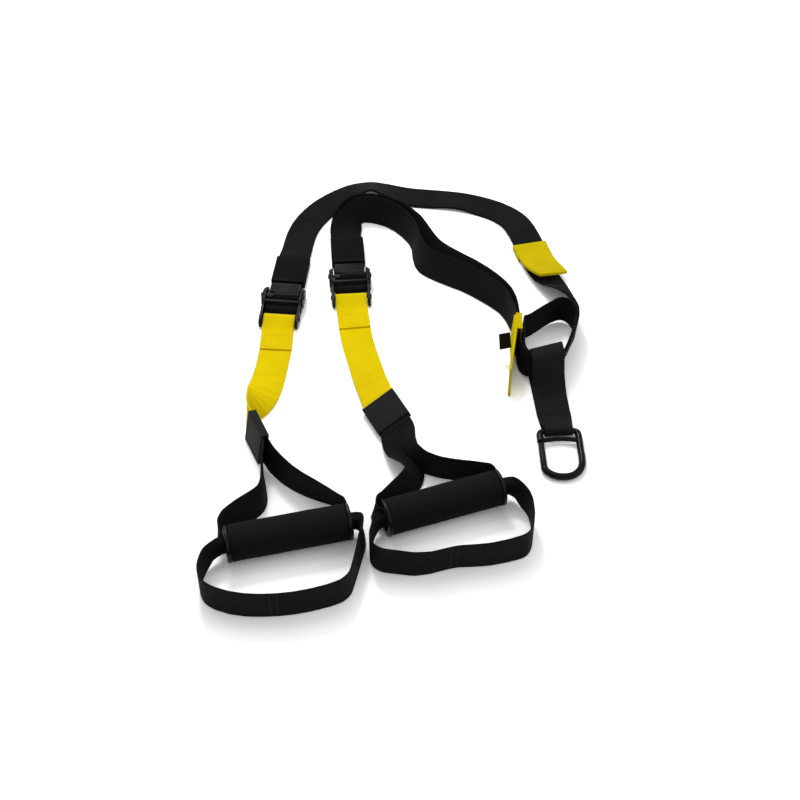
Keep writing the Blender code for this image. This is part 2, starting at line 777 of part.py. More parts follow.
def sleeve_mesh(frames, inside_width, inside_height, wall):
    """A flat tube of webbing round the layers that pass through it."""
    rings = []
    for frame in frames:
        ring = []
        for grow in (wall, 0.0):
            half_width = inside_width / 2 + grow
            half_height = inside_height / 2 + grow
            for across, up in ((-1, -1), (1, -1), (1, 1), (-1, 1)):
                side = frame["across"] * (across * half_width)
                ring.append(frame["middle"] + side + frame["normal"] * (up * half_height))
        rings.append(ring)
    bm = bmesh.new()
    rows = [[bm.verts.new(point) for point in ring] for ring in rings]
    for near, far in zip(rows, rows[1:]):
        for base in (0, 4):
            for i in range(4):
                j = (i + 1) % 4
                bm.faces.new((near[base + i], near[base + j], far[base + j], far[base + i]))
    for row in (rows[0], rows[-1]):
        for i in range(4):
            j = (i + 1) % 4
            bm.faces.new((row[i], row[j], row[4 + j], row[4 + i]))
    return bm


def edge_frames(points, matrix, reverse_across=False):
    """Frames of a folded strap from its outline in the (along, height) plane."""
    samples = smooth_samples([(p[0], 0.0, p[1], 0.0, 0.0) for p in points], False)
    return plane_frames(samples, matrix, reverse_across)


def plane_frames(samples, matrix, reverse_across=False, closed=False):
    across = matrix.to_3x3() @ Vector((0, 1, 0))
    if reverse_across:
        across = -across
    frames = []
    count = len(samples)
    for i in range(count):
        if closed:
            before, after = samples[i - 1], samples[(i + 1) % count]
        else:
            before, after = samples[max(i - 1, 0)], samples[min(i + 1, count - 1)]
        step = Vector((after[0] - before[0], 0.0, after[2] - before[2]))
        along = (matrix.to_3x3() @ step).normalized()
        frames.append(
            {
                "middle": matrix @ Vector((samples[i][0], 0.0, samples[i][2])),
                "along": along,
                "across": across,
                "normal": across.cross(along).normalized(),
                "curl": 0.0,
            }
        )
    return frames


def ring_points(radius, sides, start=0.0):
    points = []
    for i in range(sides):
        angle = start + 2 * math.pi * i / sides
        points.append((radius * math.cos(angle), radius * math.sin(angle)))
    return points


def bar_mesh(matrix, centre, length, radius, sides=16, axis="v"):
    """A round bar through a point of a local frame, across it or upright."""
    rings = []
    for along in (-length / 2, length / 2):
        ring = []
        for a, b in ring_points(radius, sides):
            if axis == "v":
                point = Vector((centre[0] + a, centre[1] + along, centre[2] + b))
            else:
                point = Vector((centre[0] + a, centre[1] + b, centre[2] + along))
            ring.append(matrix @ point)
        rings.append(ring)
    return loft(rings)


def turned_mesh(matrix, outline, sides):
    """Turn a closed outline of (along, radius) points about the local first axis."""
    rings = []
    for i in range(sides):
        angle = 2 * math.pi * i / sides
        ring = [
            matrix @ Vector((along, radius * math.cos(angle), radius * math.sin(angle)))
            for along, radius in outline
        ]
        rings.append(ring)
    return loft(rings, closed=True)


def plate_mesh(matrix, outline, span, flat=False):
    """Extrude an outline: in the (u, z) plane across v, or flat in (u, v) over a height."""
    rings = []
    for depth in span:
        if flat:
            rings.append([matrix @ Vector((a, b, depth)) for a, b in outline])
        else:
            rings.append([matrix @ Vector((a, depth, b)) for a, b in outline])
    return loft(rings)


def rod_mesh(points, radii, sides, closed=False):
    """Sweep a round rod along points that lie near one level plane."""
    rings = []
    count = len(points)
    for i in range(count):
        if closed:
            before, after = points[i - 1], points[(i + 1) % count]
        else:
            before, after = points[max(i - 1, 0)], points[min(i + 1, count - 1)]
        along = (after - before).normalized()
        level = along.cross(Vector((0, 0, 1))).normalized()
        up = level.cross(along)
        ring = [points[i] + level * a + up * b for a, b in ring_points(radii[i], sides)]
        rings.append(ring)
    return loft(rings, closed)


def nearest(frames, place):
    target = Vector((place[0] - LAID_OUT_CENTRE[0], place[1] - LAID_OUT_CENTRE[1]))
    distances = [(frame["middle"].xy - target).length for frame in frames]
    return distances.index(min(distances))


def walked_distances(frames):
    total = 0.0
    found = [0.0]
    for before, after in zip(frames, frames[1:]):
        total += (after["middle"] - before["middle"]).length
        found.append(total)
    return found


def eased(value, start, end):
    share = min(max((value - start) / (end - start), 0.0), 1.0)
    return share * share * (3 - 2 * share)


def offset_along(frames, offsets):
    """Move each frame along its normal by its own offset, and turn it to the new path."""
    middles = [frame["middle"] + frame["normal"] * offset for frame, offset in zip(frames, offsets)]
    moved = []
    count = len(frames)
    for i, frame in enumerate(frames):
        along = (middles[min(i + 1, count - 1)] - middles[max(i - 1, 0)]).normalized()
        across = (frame["across"] - along * frame["across"].dot(along)).normalized()
        copy = dict(frame)
        copy["middle"] = middles[i]
        copy["along"] = along
        copy["across"] = across
        copy["normal"] = across.cross(along).normalized()
        moved.append(copy)
    return moved


def turned_back(frames):
    """The same frames in the other order, for a strap that comes back along itself."""
    moved = []
    for frame in reversed(frames):
        copy = dict(frame)
        copy["along"] = -frame["along"]
        copy["normal"] = -frame["normal"]
        moved.append(copy)
    return moved


def stations_from(frames, step):
    return [
        (*frame["middle"], frame["roll"], frame["curl"]) for frame in frames[::step]
    ]


def layer_stations(matrix, height, distances):
    return [(*(matrix @ Vector((u, 0.0, height))), 0.0, 0.0) for u in distances]


def build_main_strap(mats):
    left = layout_matrix(LEFT_BUCKLE["place"], LEFT_BUCKLE["heading"])
    right = layout_matrix(RIGHT_BUCKLE["place"], RIGHT_BUCKLE["heading"])
    inside = (STRAP_END_IN_KEEPER, KEEPER_MIDDLE, KEEPER_SPAN[1])
    stations = layer_stations(left, MAIN_LAYER_HEIGHT, inside)
    stations += stations_on_floor(MAIN_ROUTE_LEFT + MAIN_ROUTE_ANCHOR + MAIN_ROUTE_RIGHT)
    stations += layer_stations(right, MAIN_LAYER_HEIGHT, inside[::-1])
    frames = smooth_frames(stations)
    add_object("main_strap", strap_mesh(thin_out(frames)), mats["webbing"])
    return frames


def build_left_return(main, mats):
    end = nearest(main, UPPER_TAB_FAR_END)
    frames = main[: end + 1]
    walked = walked_distances(frames)
    leaves = KEEPER_SPAN[1] - STRAP_END_IN_KEEPER
    apart = RETURN_LAYER_HEIGHT - MAIN_LAYER_HEIGHT
    offsets = [
        apart + (LAYER_PITCH - apart) * eased(distance, leaves, leaves + RETURN_DROP_LENGTH)
        for distance in walked
    ]
    moved = offset_along(frames, offsets)
    kept = [moved[i] for i in shared_places(thin_places(main), 0, end)]
    add_object("return_strap_left", strap_mesh(kept), mats["webbing"])


def build_right_return(main, mats):
    right = layout_matrix(RIGHT_BUCKLE["place"], RIGHT_BUCKLE["heading"])
    start = nearest(main, LOWER_TAB_NEAR_END)
    end = nearest(main, LOWER_TAB_FAR_END)
    beside = shifted(main[start : end + 1], LAYER_PITCH)
    kept = [beside[i] for i in shared_places(thin_places(main), start, end)]
    stations = stations_from([beside[-BLEND_STEP], beside[-1]], 1)
    stations += stations_on_floor(RETURN_ROUTE_RIGHT)
    inside = (KEEPER_SPAN[1] + RETURN_DROP_START, KEEPER_MIDDLE, STRAP_END_IN_KEEPER)
    stations += layer_stations(right, RETURN_LAYER_HEIGHT, inside)
    frames = thin_out(smooth_frames(stations)[BLEND_STEP - 1 :])
    add_object("return_strap_right", strap_mesh(kept[:-1] + frames), mats["webbing"])


def build_locking_loop(main, mats):
    start = nearest(main, RING_LEAVES_RIGHT)
    end = nearest(main, RING_LEAVES_LEFT)
    beside = main[start : end + 1]
    walked = walked_distances(beside)
    length = walked[-1]
    offsets = []
    for distance in walked:
        near_tab = eased(distance, length - RING_TAB_REACH, length - RING_TAB_FULL)
        offsets.append(-RING_OFFSET - (RING_OFFSET_AT_TAB - RING_OFFSET) * near_tab)
    moved = rest_on_floor(offset_along(beside, offsets), WEBBING_WIDTH, WEBBING_THICKNESS)
    kept = [moved[i] for i in shared_places(thin_places(main), start, end)]
    stations = stations_from([moved[-BLEND_STEP], moved[-1]], 1)
    stations += stations_on_floor(RING_ROUTE_TOP)
    stations += stations_from([moved[0], moved[BLEND_STEP]], 1)
    top = smooth_frames(stations)[BLEND_STEP - 1 : -BLEND_STEP - 1]
    frames = kept[:-1] + thin_out(top)
    add_object("locking_loop", strap_mesh(frames, closed=True), mats["webbing"])


def between(frames, start, length):
    walked = walked_distances(frames)
    return [frame for frame, distance in zip(frames, walked) if start <= distance <= start + length]


def every(frames, step):
    kept = frames[::step]
    if kept[-1] is not frames[-1]:
        kept = kept + [frames[-1]]
    return kept


def build_upper_tab(main, mats):
    start = nearest(main, UPPER_TAB_START)
    run = main[start:]
    sleeve_frames = shifted(between(run, 0.0, TAB_SLEEVE_LENGTH), LAYER_PITCH / 2)
    inside_width = WEBBING_WIDTH + 2 * TAB_SIDE_GAP
    inside_height = 2 * WEBBING_THICKNESS + 3 * SEAT_GAP
    body = sleeve_mesh(every(sleeve_frames, 5), inside_width, inside_height, TAB_WALL)
    tab = add_object("pull_tab_left", body, mats["yellow"], smooth=SHARP_EDGE)
    flap = between(run, TAB_SLEEVE_LENGTH - TAB_FLAP_OVERLAP, TAB_FLAP_LENGTH + TAB_FLAP_OVERLAP)
    walked = walked_distances(flap)
    low = LAYER_PITCH / 2 + inside_height / 2 + TAB_WALL / 2 + TAB_FLAP_RAISED
    offsets = [low + UPPER_TAB_RISE * eased(d, TAB_FLAP_OVERLAP, TAB_FLAP_LENGTH) for d in walked]
    raised = offset_along(flap, offsets)
    width = inside_width + 2 * TAB_WALL - 2 * TAB_FLAP_INSET
    plate = strap_mesh(every(raised, 6), width, TAB_FLAP_THICKNESS)
    guide = add_object("pull_tab_left_flap_guide", plate, mats["yellow"])
    use_as_tool(tab, guide, "UNION")


def build_lower_tab(main, mats):
    start = nearest(main, LOWER_TAB_START)
    run = main[start:]
    sleeve_frames = shifted(between(run, 0.0, TAB_SLEEVE_LENGTH), LAYER_PITCH / 2)
    inside_width = WEBBING_WIDTH + 2 * TAB_SIDE_GAP
    inside_height = 2 * WEBBING_THICKNESS + 3 * SEAT_GAP
    body = sleeve_mesh(every(sleeve_frames, 5), inside_width, inside_height, TAB_WALL)
    tab = add_object("pull_tab_right", body, mats["yellow"], smooth=SHARP_EDGE)
    width = inside_width + 2 * TAB_WALL - 2 * TAB_FLAP_INSET
    first, last = [nearest(main, place) for place in LOWER_FLAP_ON_SLEEVE]
    stations = stations_on_floor(LOWER_FLAP_ROUTE, width, TAB_FLAP_THICKNESS)
    stations += stations_from(shifted(main[first : last + 1], LOWER_FLAP_OUT), last - first)
    frames = smooth_frames(stations, width=width, thickness=TAB_FLAP_THICKNESS)
    plate = strap_mesh(thin_out(frames), width, TAB_FLAP_THICKNESS)
    guide = add_object("pull_tab_right_flap_guide", plate, mats["yellow"])
    use_as_tool(tab, guide, "UNION")
    stations = []
    for x, y, height in TAIL_ROUTE:
        stations.append((x - LAID_OUT_CENTRE[0], y - LAID_OUT_CENTRE[1], height, TAIL_ROLL, 0.0))
    tail = smooth_frames(stations)
    add_object("tab_tail", strap_mesh(thin_out(tail), TAIL_WIDTH), mats["webbing"])


def build_keeper(handle, mats):
    matrix = layout_matrix(handle["buckle"]["place"], handle["buckle"]["heading"])
    inside_height = 4 * WEBBING_THICKNESS + 5 * SEAT_GAP
    height = KEEPER_WALL + inside_height / 2
    samples = [(u, 0.0, height) for u in KEEPER_SPAN]
    frames = plane_frames(samples, matrix)
    mesh = sleeve_mesh(frames, WEBBING_WIDTH + 2 * KEEPER_WIDTH_GAP, inside_height, KEEPER_WALL)
    add_object("strap_keeper_" + handle["side"], mesh, mats["keeper"])


def build_anchor(mats):
    matrix = layout_matrix(ANCHOR_PLACE, ANCHOR_HEADING)
    pivot_place = matrix @ Vector((0.0, 0.0, ANCHOR_PIVOT_HEIGHT))
    pivot = add_pivot("anchor_pivot", pivot_place)
    radius = SLOT_BAR_RADIUS + SEAT_GAP + ANCHOR_LOOP_SLACK + WEBBING_THICKNESS / 2
    round_bar = []
    for i in range(7):
        angle = math.pi / 2 - math.pi * i / 6
        round_bar.append(
            (SLOT_BAR_AT + radius * math.cos(angle), SLOT_BAR_HEIGHT + radius * math.sin(angle))
        )
    stations = [(u, 0.0, z, 0.0, 0.0) for u, z in ANCHOR_ROUTE + round_bar + ANCHOR_ROUTE_BACK]
    samples = smooth_samples(stations, True)
    frames = plane_frames(samples, matrix, closed=True)
    kept = rest_on_floor(thin_out(frames, closed=True), WEBBING_WIDTH, WEBBING_THICKNESS)
    forward = matrix.to_3x3() @ Vector((1, 0, 0))
    inverse = matrix.inverted()
    for frame in kept:
        distance = (inverse @ frame["middle"]).x
        skew = LOOP_SKEW * (1 - eased(distance, *LOOP_SKEW_ENDS))
        narrow = 1 - ANCHOR_TAPER * eased(distance, *ANCHOR_TAPER_ENDS)
        frame["across"] = frame["across"] * narrow - forward * skew
        frame["normal"] = frame["across"].cross(frame["along"]).normalized()
    mesh = strap_mesh(kept, closed=True)
    add_object("anchor_strap", mesh, mats["webbing"], pivot_place, pivot)

    bar_place = matrix @ Vector((SLOT_BAR_AT, 0.0, SLOT_BAR_HEIGHT))
    swing = add_pivot("carabiner_pivot", bar_place, pivot)
    place = Matrix.Translation(bar_place) @ Matrix.Rotation(CARABINER_HEADING, 4, "Z")
    place = place @ Matrix.Rotation(CARABINER_DIP, 4, "Y")
    flat = Matrix.Translation(-bar_place) @ place
    points, radii = carabiner_path(place)
    body = add_object(
        "carabiner_body", rod_mesh(points, radii, ROD_SIDES), mats["gloss_metal"], bar_place, swing, SHARP_EDGE
    )
    web = carabiner_web(place)
    use_as_tool(body, add_object("carabiner_web_guide", web, mats["gloss_metal"], bar_place, swing), "UNION")
    hinge_u, hinge_v = GATE_SPAN[0], -CARABINER_HALF_WIDTH
    outline = tang_outline(hinge_u, hinge_v)
    tang = plate_mesh(place, outline, (-TANG_THICKNESS / 2, TANG_THICKNESS / 2), True)
    use_as_tool(body, add_object("carabiner_tang_guide", tang, mats["gloss_metal"], bar_place, swing), "UNION")
    hole = bar_mesh(
        place, (hinge_u, hinge_v, 0.0), 4 * ROD_RADIUS, GATE_PIN_RADIUS + SEAT_GAP, PIN_SIDES, "z"
    )
    hole_guide = add_object("gate_pin_hole_guide", hole, mats["gloss_metal"], bar_place, swing)
    use_as_tool(body, hole_guide, "DIFFERENCE")

    hinge = place @ Vector((hinge_u, hinge_v, 0.0))
    gate_pivot = add_pivot("gate_pivot", hinge, swing)
    ends = [hinge_u - GATE_FORK_BACK, hinge_u - GATE_FORK_BACK + GATE_ROUNDING]
    ends += [GATE_SPAN[1] - GATE_ROUNDING, GATE_SPAN[1]]
    sizes = [GATE_RADIUS - GATE_ROUNDING, GATE_RADIUS, GATE_RADIUS, GATE_RADIUS - GATE_ROUNDING]
    gate_points = [place @ Vector((u, hinge_v, 0.0)) for u in ends]
    rod = rod_mesh(gate_points, sizes, ROD_SIDES)
    gate = add_object("carabiner_gate", rod, mats["dark_metal"], hinge, gate_pivot, SHARP_EDGE)
    slot_outline = [
        (hinge_u - 2 * GATE_FORK_BACK, hinge_v - 2 * GATE_RADIUS),
        (hinge_u + GATE_SLOT_DEPTH, hinge_v - 2 * GATE_RADIUS),
        (hinge_u + GATE_SLOT_DEPTH, hinge_v + 2 * GATE_RADIUS),
        (hinge_u - 2 * GATE_FORK_BACK, hinge_v + 2 * GATE_RADIUS),
    ]
    half_slot = TANG_THICKNESS / 2 + SEAT_GAP
    slot = plate_mesh(place, slot_outline, (-half_slot, half_slot), True)
    use_as_tool(gate, add_object("gate_slot_guide", slot, mats["dark_metal"], hinge, gate_pivot), "DIFFERENCE")
    use_as_tool(gate, hole_guide, "DIFFERENCE")
    pin = bar_mesh(
        place,
        (hinge_u, hinge_v, 0.0),
        2 * GATE_RADIUS - PIN_SUNK,
        GATE_PIN_RADIUS,
        PIN_SIDES,
        "z",
    )
    add_object("gate_pin", pin, mats["steel"], bar_place, swing)


def carabiner_path(place):
    """The rod from the gate hinge round the slot bar and the bow to the nose."""
    corner = CARABINER_CORNER_RADIUS
    half = CARABINER_HALF_WIDTH
    flat = [(GATE_SPAN[0] - GATE_ROD_GAP, -half, ROD_RADIUS), (corner, -half, ROD_RADIUS)]
    for i in range(1, 6):
        angle = math.pi / 2 * i / 5
        size = ROD_RADIUS + (SLOT_BAR_RADIUS - ROD_RADIUS) * i / 5
        flat.append((corner - corner * math.sin(angle), -half + corner - corner * math.cos(angle), size))
    for i in range(5, 0, -1):
        angle = math.pi / 2 * i / 5
        size = ROD_RADIUS + (SLOT_BAR_RADIUS - ROD_RADIUS) * i / 5
        flat.append((corner - corner * math.sin(angle), half - corner + corner * math.cos(angle), size))
    flat.append((corner, half, ROD_RADIUS))
    flat += [(u, v, ROD_RADIUS) for u, v in CARABINER_BOW]
    points = [place @ Vector((u, v, 0.0)) for u, v, size in flat]
    return points, [size for u, v, size in flat]


def carabiner_web(place):
    points = []
    for i in range(9):
        share = i / 8
        v = CARABINER_HALF_WIDTH * (2 * share - 1)
        u = WEB_AT + WEB_ARCH * (1 - math.sin(math.pi * share))
        points.append(place @ Vector((u, v, 0.0)))
    return rod_mesh(points, [WEB_RADIUS] * 9, ROD_SIDES)


def tang_outline(hinge_u, hinge_v):
    half = TANG_HALF_WIDTH
    outline = [(hinge_u - GATE_ROD_GAP - TANG_ROOT, hinge_v - half)]
    for i in range(9):
        angle = -math.pi / 2 + math.pi * i / 8
        outline.append((hinge_u + half * math.cos(angle), hinge_v + half * math.sin(angle)))
    outline.append((hinge_u - GATE_ROD_GAP - TANG_ROOT, hinge_v + half))
    return outline


def build_frame_plate(side, matrix, pivot_place, pivot, mats):
    """Two cheeks and the base plate between them, with holes for the three cross pieces."""
    outer = CHEEK_INSIDE / 2 + CHEEK_THICKNESS
    low = plate_mesh(matrix, CHEEK_OUTLINE, (-outer, -CHEEK_INSIDE / 2))
    high = plate_mesh(matrix, CHEEK_OUTLINE, (CHEEK_INSIDE / 2, outer))
    both = bpy.data.meshes.new("cheek_join")
    high.to_mesh(both)
    high.free()
    low.from_mesh(both)
    bpy.data.meshes.remove(both)
    frame = add_object("buckle_frame_" + side, low, mats["dark_metal"], pivot_place, pivot)
    reach = CHEEK_INSIDE / 2 + CHEEK_THICKNESS / 2
    near, far = BASE_PLATE_SPAN
    plate = [(near, 0.0), (far, 0.0), (far, BASE_PLATE_THICKNESS), (near, BASE_PLATE_THICKNESS)]
    base = plate_mesh(matrix, plate, (-reach, reach))
    base_guide = add_object("base_guide_" + side, base, mats["dark_metal"], pivot_place, pivot)
    use_as_tool(frame, base_guide, "UNION")
    tools = bmesh.new()
    for u, z in ((0.0, LOOP_BAR_HEIGHT), (TURN_BAR_AT, TURN_BAR_HEIGHT), CAM_PIN_AT):
        one = bar_mesh(matrix, (u, 0.0, z), 3 * CHEEK_INSIDE, TENON_RADIUS + SEAT_GAP, PIN_SIDES)
        scratch = bpy.data.meshes.new("hole_join")
        one.to_mesh(scratch)
        one.free()
        tools.from_mesh(scratch)
        bpy.data.meshes.remove(scratch)
    hole_guide = add_object("hole_guide_" + side, tools, mats["dark_metal"], pivot_place, pivot)
    use_as_tool(frame, hole_guide, "DIFFERENCE")


def stepped_bar(matrix, centre, radius):
    """A bar between the cheeks, with thinner ends through them and a head on each."""
    half = CHEEK_INSIDE / 2 - SEAT_GAP
    through = CHEEK_INSIDE / 2 + CHEEK_THICKNESS + SEAT_GAP
    head = through + RIVET_HEAD_THICKNESS
    stops = [
        (-head, RIVET_HEAD_RADIUS),
        (-through, RIVET_HEAD_RADIUS),
        (-through, TENON_RADIUS),
        (-half, TENON_RADIUS),
        (-half, radius),
        (half, radius),
        (half, TENON_RADIUS),
        (through, TENON_RADIUS),
        (through, RIVET_HEAD_RADIUS),
        (head, RIVET_HEAD_RADIUS),
    ]
    if radius == TENON_RADIUS:
        stops = stops[:3] + stops[7:]
    rings = []
    for along, size in stops:
        ring = [
            matrix @ Vector((centre[0] + a, along, centre[1] + b)) for a, b in ring_points(size, BAR_SIDES)
        ]
        rings.append(ring)
    return loft(rings)


def build_cam(side, matrix, mats, slide):
    pin_place = matrix @ Vector((CAM_PIN_AT[0], 0.0, CAM_PIN_AT[1]))
    hinge = add_pivot("cam_pivot_" + side, pin_place, slide)
    count = 2 * CAM_TEETH
    rings = []
    near, far = CAM_SPAN
    for v, outside in ((near, True), (far, True), (far, False), (near, False)):
        ring = []
        for i in range(count):
            angle = 2 * math.pi * i / count
            radius = CAM_RADIUS + (CAM_TOOTH if i % 2 else 0.0)
            if not outside:
                radius = CAM_PIN_RADIUS + SEAT_GAP
            point = Vector((radius * math.cos(angle), v, radius * math.sin(angle)))
            ring.append(matrix @ (point + Vector((CAM_PIN_AT[0], 0.0, CAM_PIN_AT[1]))))
        rings.append(ring)
    lever = add_object("cam_lever_" + side, loft(rings, closed=True), mats["dark_metal"], pin_place, hinge)
    outline = [(CAM_PIN_RADIUS + SEAT_GAP + LEVER_ROOT, LEVER_BASE), (LEVER_REACH, LEVER_BASE)]
    top = LEVER_BASE + LEVER_THICKNESS
    outline.append((LEVER_REACH, top))
    for i in range(LEVER_RIDGES):
        crest = LEVER_REACH - LEVER_RIDGE_START - i * LEVER_RIDGE_PITCH
        outline.append((crest, top))
        outline.append((crest - LEVER_RIDGE_PITCH / 4, top + LEVER_RIDGE_HEIGHT))
        outline.append((crest - LEVER_RIDGE_PITCH / 2, top + LEVER_RIDGE_HEIGHT))
        outline.append((crest - 3 * LEVER_RIDGE_PITCH / 4, top))
    outline.append((CAM_PIN_RADIUS + SEAT_GAP + LEVER_ROOT, top))
    turn = Matrix.Translation(Vector((CAM_PIN_AT[0], 0.0, CAM_PIN_AT[1])))
    turn = turn @ Matrix.Rotation(LEVER_DROOP, 4, "Y")
    plate = plate_mesh(matrix @ turn, outline, LEVER_SPAN)
    guide = add_object("lever_guide_" + side, plate, mats["dark_metal"], pin_place, hinge)
    use_as_tool(lever, guide, "UNION")


def build_spring(side, matrix, mats, slide, pivot_place):
    """A coil round the cam pin with a short leg at each end."""
    points = []
    total = SPRING_CURLS * SPRING_CURL_POINTS
    for i in range(total + 1):
        angle = 2 * math.pi * i / SPRING_CURL_POINTS
        points.append(
            Vector(
                (
                    CAM_PIN_AT[0] + SPRING_COIL_RADIUS * math.cos(angle),
                    SPRING_FIRST_V + SPRING_PITCH * i / SPRING_CURL_POINTS,
                    CAM_PIN_AT[1] + SPRING_COIL_RADIUS * math.sin(angle),
                )
            )
        )
    least = SPRING_PITCH
    for i, here in enumerate(points):
        for there in points[i + SPRING_CURL_POINTS - 2 :]:
            least = min(least, (there - here).length)
    print("least gap between spring curls, mm:", round(1000 * (least - 2 * SPRING_WIRE_RADIUS), 3))
    last = points[-1]
    points.append(last + Vector((0.0, 0.0, -SPRING_LEG / 2)))
    points.append(last + Vector((0.0, 0.0, -SPRING_LEG)))
    rings = []
    count = len(points)
    for i in range(count):
        along = (points[min(i + 1, count - 1)] - points[max(i - 1, 0)]).normalized()
        side_way = along.cross(Vector((0, 1, 0))).normalized()
        other = side_way.cross(along)
        rings.append(
            [matrix @ (points[i] + side_way * a + other * b) for a, b in ring_points(SPRING_WIRE_RADIUS, 6)]
        )
    add_object("cam_spring_" + side, loft(rings), mats["spring"], pivot_place, slide, SHARP_EDGE)


def build_turn_webbing(side, matrix, mats, slide, pivot_place):
    """The strap where it turns round the bar, with both legs in the keeper."""
    radius = TURN_BAR_RADIUS + SEAT_GAP + WEBBING_THICKNESS / 2
    points = list(TURN_LOWER_LEG)
    for i in range(7):
        angle = -math.pi / 2 - math.pi * i / 6
        points.append((TURN_BAR_AT + radius * math.cos(angle), TURN_BAR_HEIGHT + radius * math.sin(angle)))
    points += TURN_UPPER_LEG
    frames = edge_frames(points, matrix)
    kept = thin_out(frames, turn=TURN_ROUND_BAR)
    add_object("turn_webbing_" + side, strap_mesh(kept), mats["webbing"], pivot_place, slide)


def build_yellow_strap(handle, matrix, mats, hinge, hinge_place):
    """The yellow strap: doubled back from the loop bar and sewn, then on to the collar."""
    side = handle["side"]
    radius = LOOP_BAR_RADIUS + SEAT_GAP + YELLOW_THICKNESS / 2
    bottom = LOOP_BAR_HEIGHT - radius
    stations = [(*(matrix @ Vector((0.0, 0.0, bottom))), 0.0, 0.0)]
    stations.append((*(matrix @ Vector((-YELLOW_LEAVES_BAR, 0.0, YELLOW_LEAVES_HEIGHT))), 0.0, 0.0))
    stations += stations_on_floor(handle["yellow_route"], thickness=YELLOW_THICKNESS)
    for distance in YELLOW_COLLAR_STOPS:
        stations.append(collar_station(handle["collar"], distance, 0.0, "yellow"))
    lower = smooth_frames(stations, thickness=YELLOW_THICKNESS)
    sewn = between(lower, 0.0, YELLOW_SEWN_LENGTH)
    walked = walked_distances(sewn)
    pitch = YELLOW_THICKNESS + SEAT_GAP
    offsets = [2 * radius + (pitch - 2 * radius) * eased(d, 0.0, YELLOW_CLOSES) for d in walked]
    upper = turned_back(offset_along(sewn, offsets))
    arc = []
    for i in range(1, 8):
        angle = math.pi / 2 - math.pi * i / 8
        arc.append((radius * math.cos(angle), 0.0, LOOP_BAR_HEIGHT + radius * math.sin(angle)))
    round_bar = plane_frames([(0.0, 0.0, LOOP_BAR_HEIGHT + radius)] + arc + [(0.0, 0.0, bottom)], matrix)
    frames = thin_out(upper)[:-1] + round_bar[:-1] + thin_out(lower)
    mesh = strap_mesh(frames, thickness=YELLOW_THICKNESS)
    add_object("yellow_strap_" + side, mesh, mats["yellow"], hinge_place, hinge)


def collar_frame(collar):
    """The collar's middle, direction along it, across it and its normal."""
    heading, roll = collar["heading"], math.radians(collar["roll"])
    along = Vector((math.cos(heading), math.sin(heading), 0.0))
    level = along.cross(Vector((0, 0, 1)))
    across = level * math.cos(roll) + Vector((0, 0, math.sin(roll)))
    normal = across.cross(along)
    width = WEBBING_WIDTH + 2 * (COLLAR_SIDE_GAP + COLLAR_WALL)
    height = edge_on_height(collar["lift"], collar["roll"], width, COLLAR_INSIDE + 2 * COLLAR_WALL)
    x, y = collar["place"]
    return Vector((x - LAID_OUT_CENTRE[0], y - LAID_OUT_CENTRE[1], height)), along, across, normal


def collar_station(collar, distance, offset, kind):
    """One station inside the collar, with the roll that suits the way the strap is going."""
    middle, along, across, normal = collar_frame(collar)
    point = middle + along * distance + normal * offset
    rolls = {
        "yellow": collar["roll"] + collar["yellow_turn"],
        "outward": collar["roll"] + 180,
        "homeward": -collar["roll"],
    }
    roll = rolls[kind]
    return (*point, roll, 0.0)


def build_collar(handle, mats, hinge, hinge_place):
    middle, along, across, normal = collar_frame(handle["collar"])
    frames = []
    for distance in (-COLLAR_LENGTH / 2, COLLAR_LENGTH / 2):
        frames.append({"middle": middle + along * distance, "across": across, "normal": normal})
    mesh = sleeve_mesh(frames, WEBBING_WIDTH + 2 * COLLAR_SIDE_GAP, COLLAR_INSIDE, COLLAR_WALL)
    add_object("collar_" + handle["side"], mesh, mats["collar"], hinge_place, hinge)


def bend_stations(matrix, end, centre_q, radius, angles, curls, lean):
    """Stations round a tight bend at one end of the grip; end is 1 or -1."""
    found = []
    middle = end * (GRIP_LENGTH / 2 + BEND_CLEARANCE)
    most = max(angles)
    for angle, curl in zip(angles, curls):
        roll = 90 + (lean - 90) * angle / most
        u = middle + end * radius * math.sin(angle)
        q = centre_q - radius * math.cos(angle)
        point = matrix @ Vector((u, q, 0.0))
        found.append((point.x, point.y, GRIP_HEIGHT, roll, curl))
    return found


